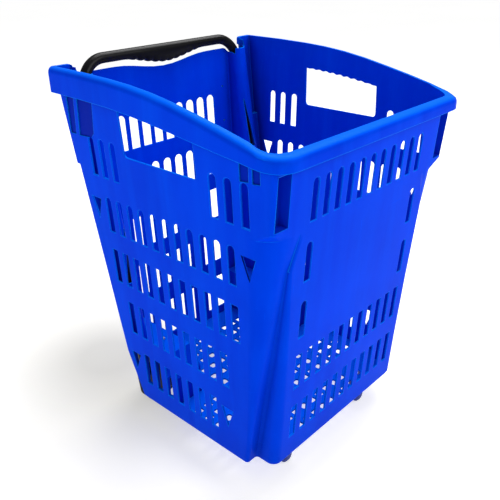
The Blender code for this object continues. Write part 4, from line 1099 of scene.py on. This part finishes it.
for s, side in ((-1, "left"), (1, "right")):
    for tag, (z0, z1), zs in zip(("lower", "upper"), GUIDES, GUIDE_SCREW_Z):
        stand_for(guide(s, z0, z1, zs), "guide_" + tag + "_" + side, BLACK, "rod_guide_" + tag + "_" + side)
        y = YD0 + YD1 * zs + 0.0033
        d = Vector((0, -1, YD1)).normalized()
        stand_for(pan_screw("sc", Vector((s * 0.1310, y + 0.0003, zs)), d, 0.0036, 0.0022, 0.0015, 0.0058),
                  "screw_guide_" + tag + "_" + side, ZINC, "guide_screw_" + tag + "_" + side)
    stand_for(bracket(s), "bracket_" + side, BLACK, "wheel_bracket_" + side)
    for tag, y in zip(("front", "rear"), BRACKET_SCREW_Y):
        stand_for(pan_screw("sc", (s * WHEEL_X, y, WELL_TOP + T + 0.0003), (0, 0, -1), 0.0042, 0.0026, 0.0018, 0.0088),
                  "screw_bracket_" + tag + "_" + side, ZINC, "bracket_screw_" + tag + "_" + side)
    # wheel: two-flange hub with ribs, crowned tyre with two grooves
    h = WHEEL_W / 2
    cx = Vector((s * WHEEL_X, WHEEL_Y, WHEEL_Z))
    prof = [(-h, 0.0034), (-h, 0.0068), (-h + 0.0004, 0.0072), (-0.0035, 0.0078), (-0.0030, 0.0084), (-0.0030, 0.0146),
            (-0.0035, 0.0152), (-h + 0.0010, 0.0162), (-h + 0.0006, 0.0166), (-h + 0.0006, 0.0182),
            (h - 0.0006, 0.0182), (h - 0.0006, 0.0166), (h - 0.0010, 0.0162), (0.0035, 0.0152), (0.0030, 0.0146),
            (0.0030, 0.0084), (0.0035, 0.0078), (h - 0.0004, 0.0072), (h, 0.0068), (h, 0.0034)]
    hub = turn("hub", prof, cx, (1, 0, 0), 56, True)
    ribs = []
    for i in range(6):
        a = 2 * math.pi * (i + 0.5) / 6
        e, f = Vector((0, math.cos(a), math.sin(a))), Vector((0, -math.sin(a), math.cos(a)))
        hole = turn("hole", [(-0.005, 0.0021), (0.005, 0.0021)], cx + e * 0.0115, (1, 0, 0), 20)
        ribs.append(hole)
    boolean(hub, join("holes", ribs), "DIFFERENCE")
    smooth_by_angle(hub, 38.0)
    stand_for(hub, "hub_" + side, BLACK, "wheel_hub_" + side)
    prof = [(-h + 0.0006, 0.0187), (-h + 0.0002, 0.0204), (-h + 0.0002, 0.0218), (-h + 0.0007, 0.0228),
            (-h + 0.0016, 0.0236), (-h + 0.0028, 0.02395), (-0.0044, WHEEL_R), (-0.0038, WHEEL_R - 0.0008),
            (-0.0030, WHEEL_R - 0.0008), (-0.0024, WHEEL_R), (0.0024, WHEEL_R), (0.0030, WHEEL_R - 0.0008),
            (0.0038, WHEEL_R - 0.0008), (0.0044, WHEEL_R), (h - 0.0028, 0.02395), (h - 0.0016, 0.0236),
            (h - 0.0007, 0.0228), (h - 0.0002, 0.0218), (h - 0.0002, 0.0204), (h - 0.0006, 0.0187)]
    tyre = turn("tyre", prof, cx, (1, 0, 0), 96, True)
    smooth_by_angle(tyre, 38.0)
    stand_for(tyre, "tyre_" + side, RUBBER, "wheel_tyre_" + side)
    x1, x0 = CHEEK_OUT[1] + 0.0002, CHEEK_IN[0]
    prof = [(x1 + 0.0017, 0.0030), (x1 + 0.00165, 0.0038), (x1 + 0.0013, 0.0046), (x1 + 0.0008, 0.0051),
            (x1 + 0.0003, 0.0052), (x1, 0.0051), (x1, 0.0030), (x0 - 0.0036, 0.0030), (x0 - 0.0041, 0.0028),
            (x0 - 0.0046, 0.0024), (x0 - 0.0048, 0.0018)]
    axle = turn("axle", prof, (0.0, WHEEL_Y, WHEEL_Z), (s, 0, 0), 36)
    smooth_by_angle(axle, 38.0)
    stand_for(axle, "axle_" + side, ZINC, "wheel_axle_" + side)
    prof = [(-0.0009, 0.0033), (-0.0009, 0.0040), (-0.0003, 0.0046), (-0.0005, 0.0056), (-0.0002, 0.0058), (0.0006, 0.0058),
            (0.0009, 0.0056), (0.0009, 0.0033)]
    nut = turn("nut", prof, (s * (CHEEK_IN[0] - 0.0012), WHEEL_Y, WHEEL_Z), (-s, 0, 0), 36, True)
    notches = []
    for i in range(4):
        a = math.pi / 4 + math.pi * i / 2
        e = Vector((0, math.cos(a), math.sin(a)))
        f = Vector((0, -math.sin(a), math.cos(a)))
        c = Vector((s * (CHEEK_IN[0] - 0.0012), WHEEL_Y, WHEEL_Z))
        pts = [c + e * r_ + f * g_ for r_, g_ in ((0.0030, -0.0003), (0.0044, -0.0003), (0.0044, 0.0003), (0.0030, 0.0003))]
        notches.append(loft("nt", [[p + Vector((-0.002, 0, 0)) for p in pts], [p + Vector((0.002, 0, 0)) for p in pts]]))
    boolean(nut, join("notch", notches), "DIFFERENCE")
    smooth_by_angle(nut, 38.0)
    stand_for(nut, "push_nut_" + side, ZINC, "axle_push_nut_" + side)
    # front foot: rounded tapering stud
    rings = []
    n = 48
    for z, a, b in ((FLOOR_Z - FLOOR_T - 0.0003, 0.0150, 0.0135), (0.0040, 0.0148, 0.0133), (-0.0080, 0.0140, 0.0125),
                    (-0.0200, 0.0130, 0.0115), (-0.0340, 0.0112, 0.0098), (-0.0385, 0.0103, 0.0088),
                    (-0.0415, 0.0090, 0.0076), (-0.0436, 0.0074, 0.0061), (-0.0447, 0.0058, 0.0047), (-0.0450, 0.0044, 0.0035)):
        ring_ = []
        for i in range(n):
            t = 2 * math.pi * (i + 0.5) / n
            c, sn = math.cos(t), math.sin(t)
            ring_.append((s * FOOT_X + a * abs(c) ** 0.75 * (1 if c >= 0 else -1),
                          FOOT_Y + b * abs(sn) ** 0.75 * (1 if sn >= 0 else -1), z))
        rings.append(ring_)
    foot = loft("foot", rings)
    boolean(foot, tube_between("sc", (s * FOOT_X, FOOT_Y, -0.006), (s * FOOT_X, FOOT_Y, 0.02), 0.0023, 24), "DIFFERENCE")
    smooth_by_angle(foot, 45.0)
    stand_for(foot, "foot_" + side, FOOT_BLUE_PAINTED_SHADE, "front_foot_" + side)
    stand_for(pan_screw("sc", (s * FOOT_X, FOOT_Y, FLOOR_Z + 0.0003), (0, 0, -1), 0.0045, 0.0024, 0.0019, 0.0150),
              "screw_foot_" + side, ZINC, "foot_screw_" + side)


# ---------------------------------------------------------------------- stage
floor = make("floor", [(-9, -9, 0), (9, -9, 0), (9, 9, 0), (-9, 9, 0)], [(0, 1, 2, 3)])
fm, fnt, fb = nodes_of("stage_floor")
ftc = fnt.nodes.new("ShaderNodeTexCoord").outputs["Object"]
fcol = mix(fnt, ramp(fnt, noise(fnt, ftc, 1.3, 2.0), ((0.3, 0.0), (0.7, 1.0))), (0.905, 0.905, 0.905), (0.925, 0.925, 0.925))
dist = fnt.nodes.new("ShaderNodeVectorMath")
dist.operation = "LENGTH"
fnt.links.new(ftc, dist.inputs[0])
# painted warm tint: near the basket the floor's base colour is warmer and a little darker, cancelling the blue light
# bounced from the basket
near = ramp(fnt, mathn(fnt, "DIVIDE", dist.outputs["Value"], 3.0), ((0.08, (0.760, 0.740, 0.650)), (0.30, (0.800, 0.798, 0.790))))
# soft broad shade on the floor behind the left side
aside = fnt.nodes.new("ShaderNodeVectorMath")
aside.operation = "DISTANCE"
aside.inputs[1].default_value = (-0.12, 0.31, 0.0)
fnt.links.new(ftc, aside.inputs[0])
shade = ramp(fnt, aside.outputs["Value"], ((0.05, 0.58), (0.12, 0.70), (0.20, 0.84), (0.30, 0.95), (0.38, 1.0)))
near = mix(fnt, 1.0, near, shade, "MULTIPLY")
fnt.links.new(near, fb.inputs["Base Color"])
fb.inputs["Roughness"].default_value = 0.9
fb.inputs["Specular IOR Level"].default_value = 0.1
glow = ramp(fnt, mathn(fnt, "DIVIDE", dist.outputs["Value"], 3.0), ((0.06, 0.62), (0.30, 0.58), (0.62, 0.76)))
fcol = mix(fnt, 1.0, fcol, shade, "MULTIPLY")
fnt.links.new(fcol, fb.inputs["Emission Color"])
fnt.links.new(glow, fb.inputs["Emission Strength"])
floor.data.materials.append(fm)

world = bpy.data.worlds.new("studio")
world.use_nodes = True
wn_ = world.node_tree
wn_.nodes.clear()
wo = wn_.nodes.new("ShaderNodeOutputWorld")
lp = wn_.nodes.new("ShaderNodeLightPath")
shades = []
for colour, power in (((1, 1, 1, 1), 0.38), ((0.95, 0.97, 1.0, 1), 0.26), ((1, 1, 1, 1), 1.0)):
    bgn = wn_.nodes.new("ShaderNodeBackground")
    bgn.inputs[0].default_value = colour
    bgn.inputs[1].default_value = power
    shades.append(bgn)
mx1 = wn_.nodes.new("ShaderNodeMixShader")
mx2 = wn_.nodes.new("ShaderNodeMixShader")
wn_.links.new(lp.outputs["Is Glossy Ray"], mx1.inputs[0])
wn_.links.new(shades[0].outputs[0], mx1.inputs[1])
wn_.links.new(shades[1].outputs[0], mx1.inputs[2])
wn_.links.new(lp.outputs["Is Camera Ray"], mx2.inputs[0])
wn_.links.new(mx1.outputs[0], mx2.inputs[1])
wn_.links.new(shades[2].outputs[0], mx2.inputs[2])
wn_.links.new(mx2.outputs[0], wo.inputs[0])
scene.world = world


def area(name, at, target, size, power, spec=1.0):
    l = bpy.data.lights.new(name, "AREA")
    l.shape = "RECTANGLE"
    l.size, l.size_y = size
    l.energy = power
    l.specular_factor = spec
    o = bpy.data.objects.new(name, l)
    o.location = at
    d = Vector(target) - Vector(at)
    o.rotation_euler = d.to_track_quat("-Z", "Y").to_euler()
    scene.collection.objects.link(o)
    return o


area("key", (0.6, -1.9, 1.6), (0, 0, 0.35), (1.5, 1.2), 19.0, 0.35)
area("top", (0.9, 0.3, 2.2), (0, 0, 0.3), (1.6, 1.6), 48.0, 0.6)
area("fill", (-2.2, 0.4, 0.7), (0, 0, 0.3), (1.2, 1.2), 8.0, 0.2)

cam = bpy.data.cameras.new("camera")
cam.sensor_width = 36.0
cam.lens = 45.91
cam.clip_start = 0.02
co = bpy.data.objects.new("camera", cam)
scene.collection.objects.link(co)
mt = Matrix(((0.6769, 0.3306, -0.6577), (-0.7359, 0.2852, -0.6141), (-0.0155, 0.8997, 0.4363))).to_4x4()
mt.translation = Vector((-0.6966, -0.6225 + Y_SHIFT, 0.7012 + GROUND))
co.matrix_world = mt
scene.camera = co
scene.view_settings.view_transform = "Standard"
scene.view_settings.look = "None"

bpy.context.view_layer.update()
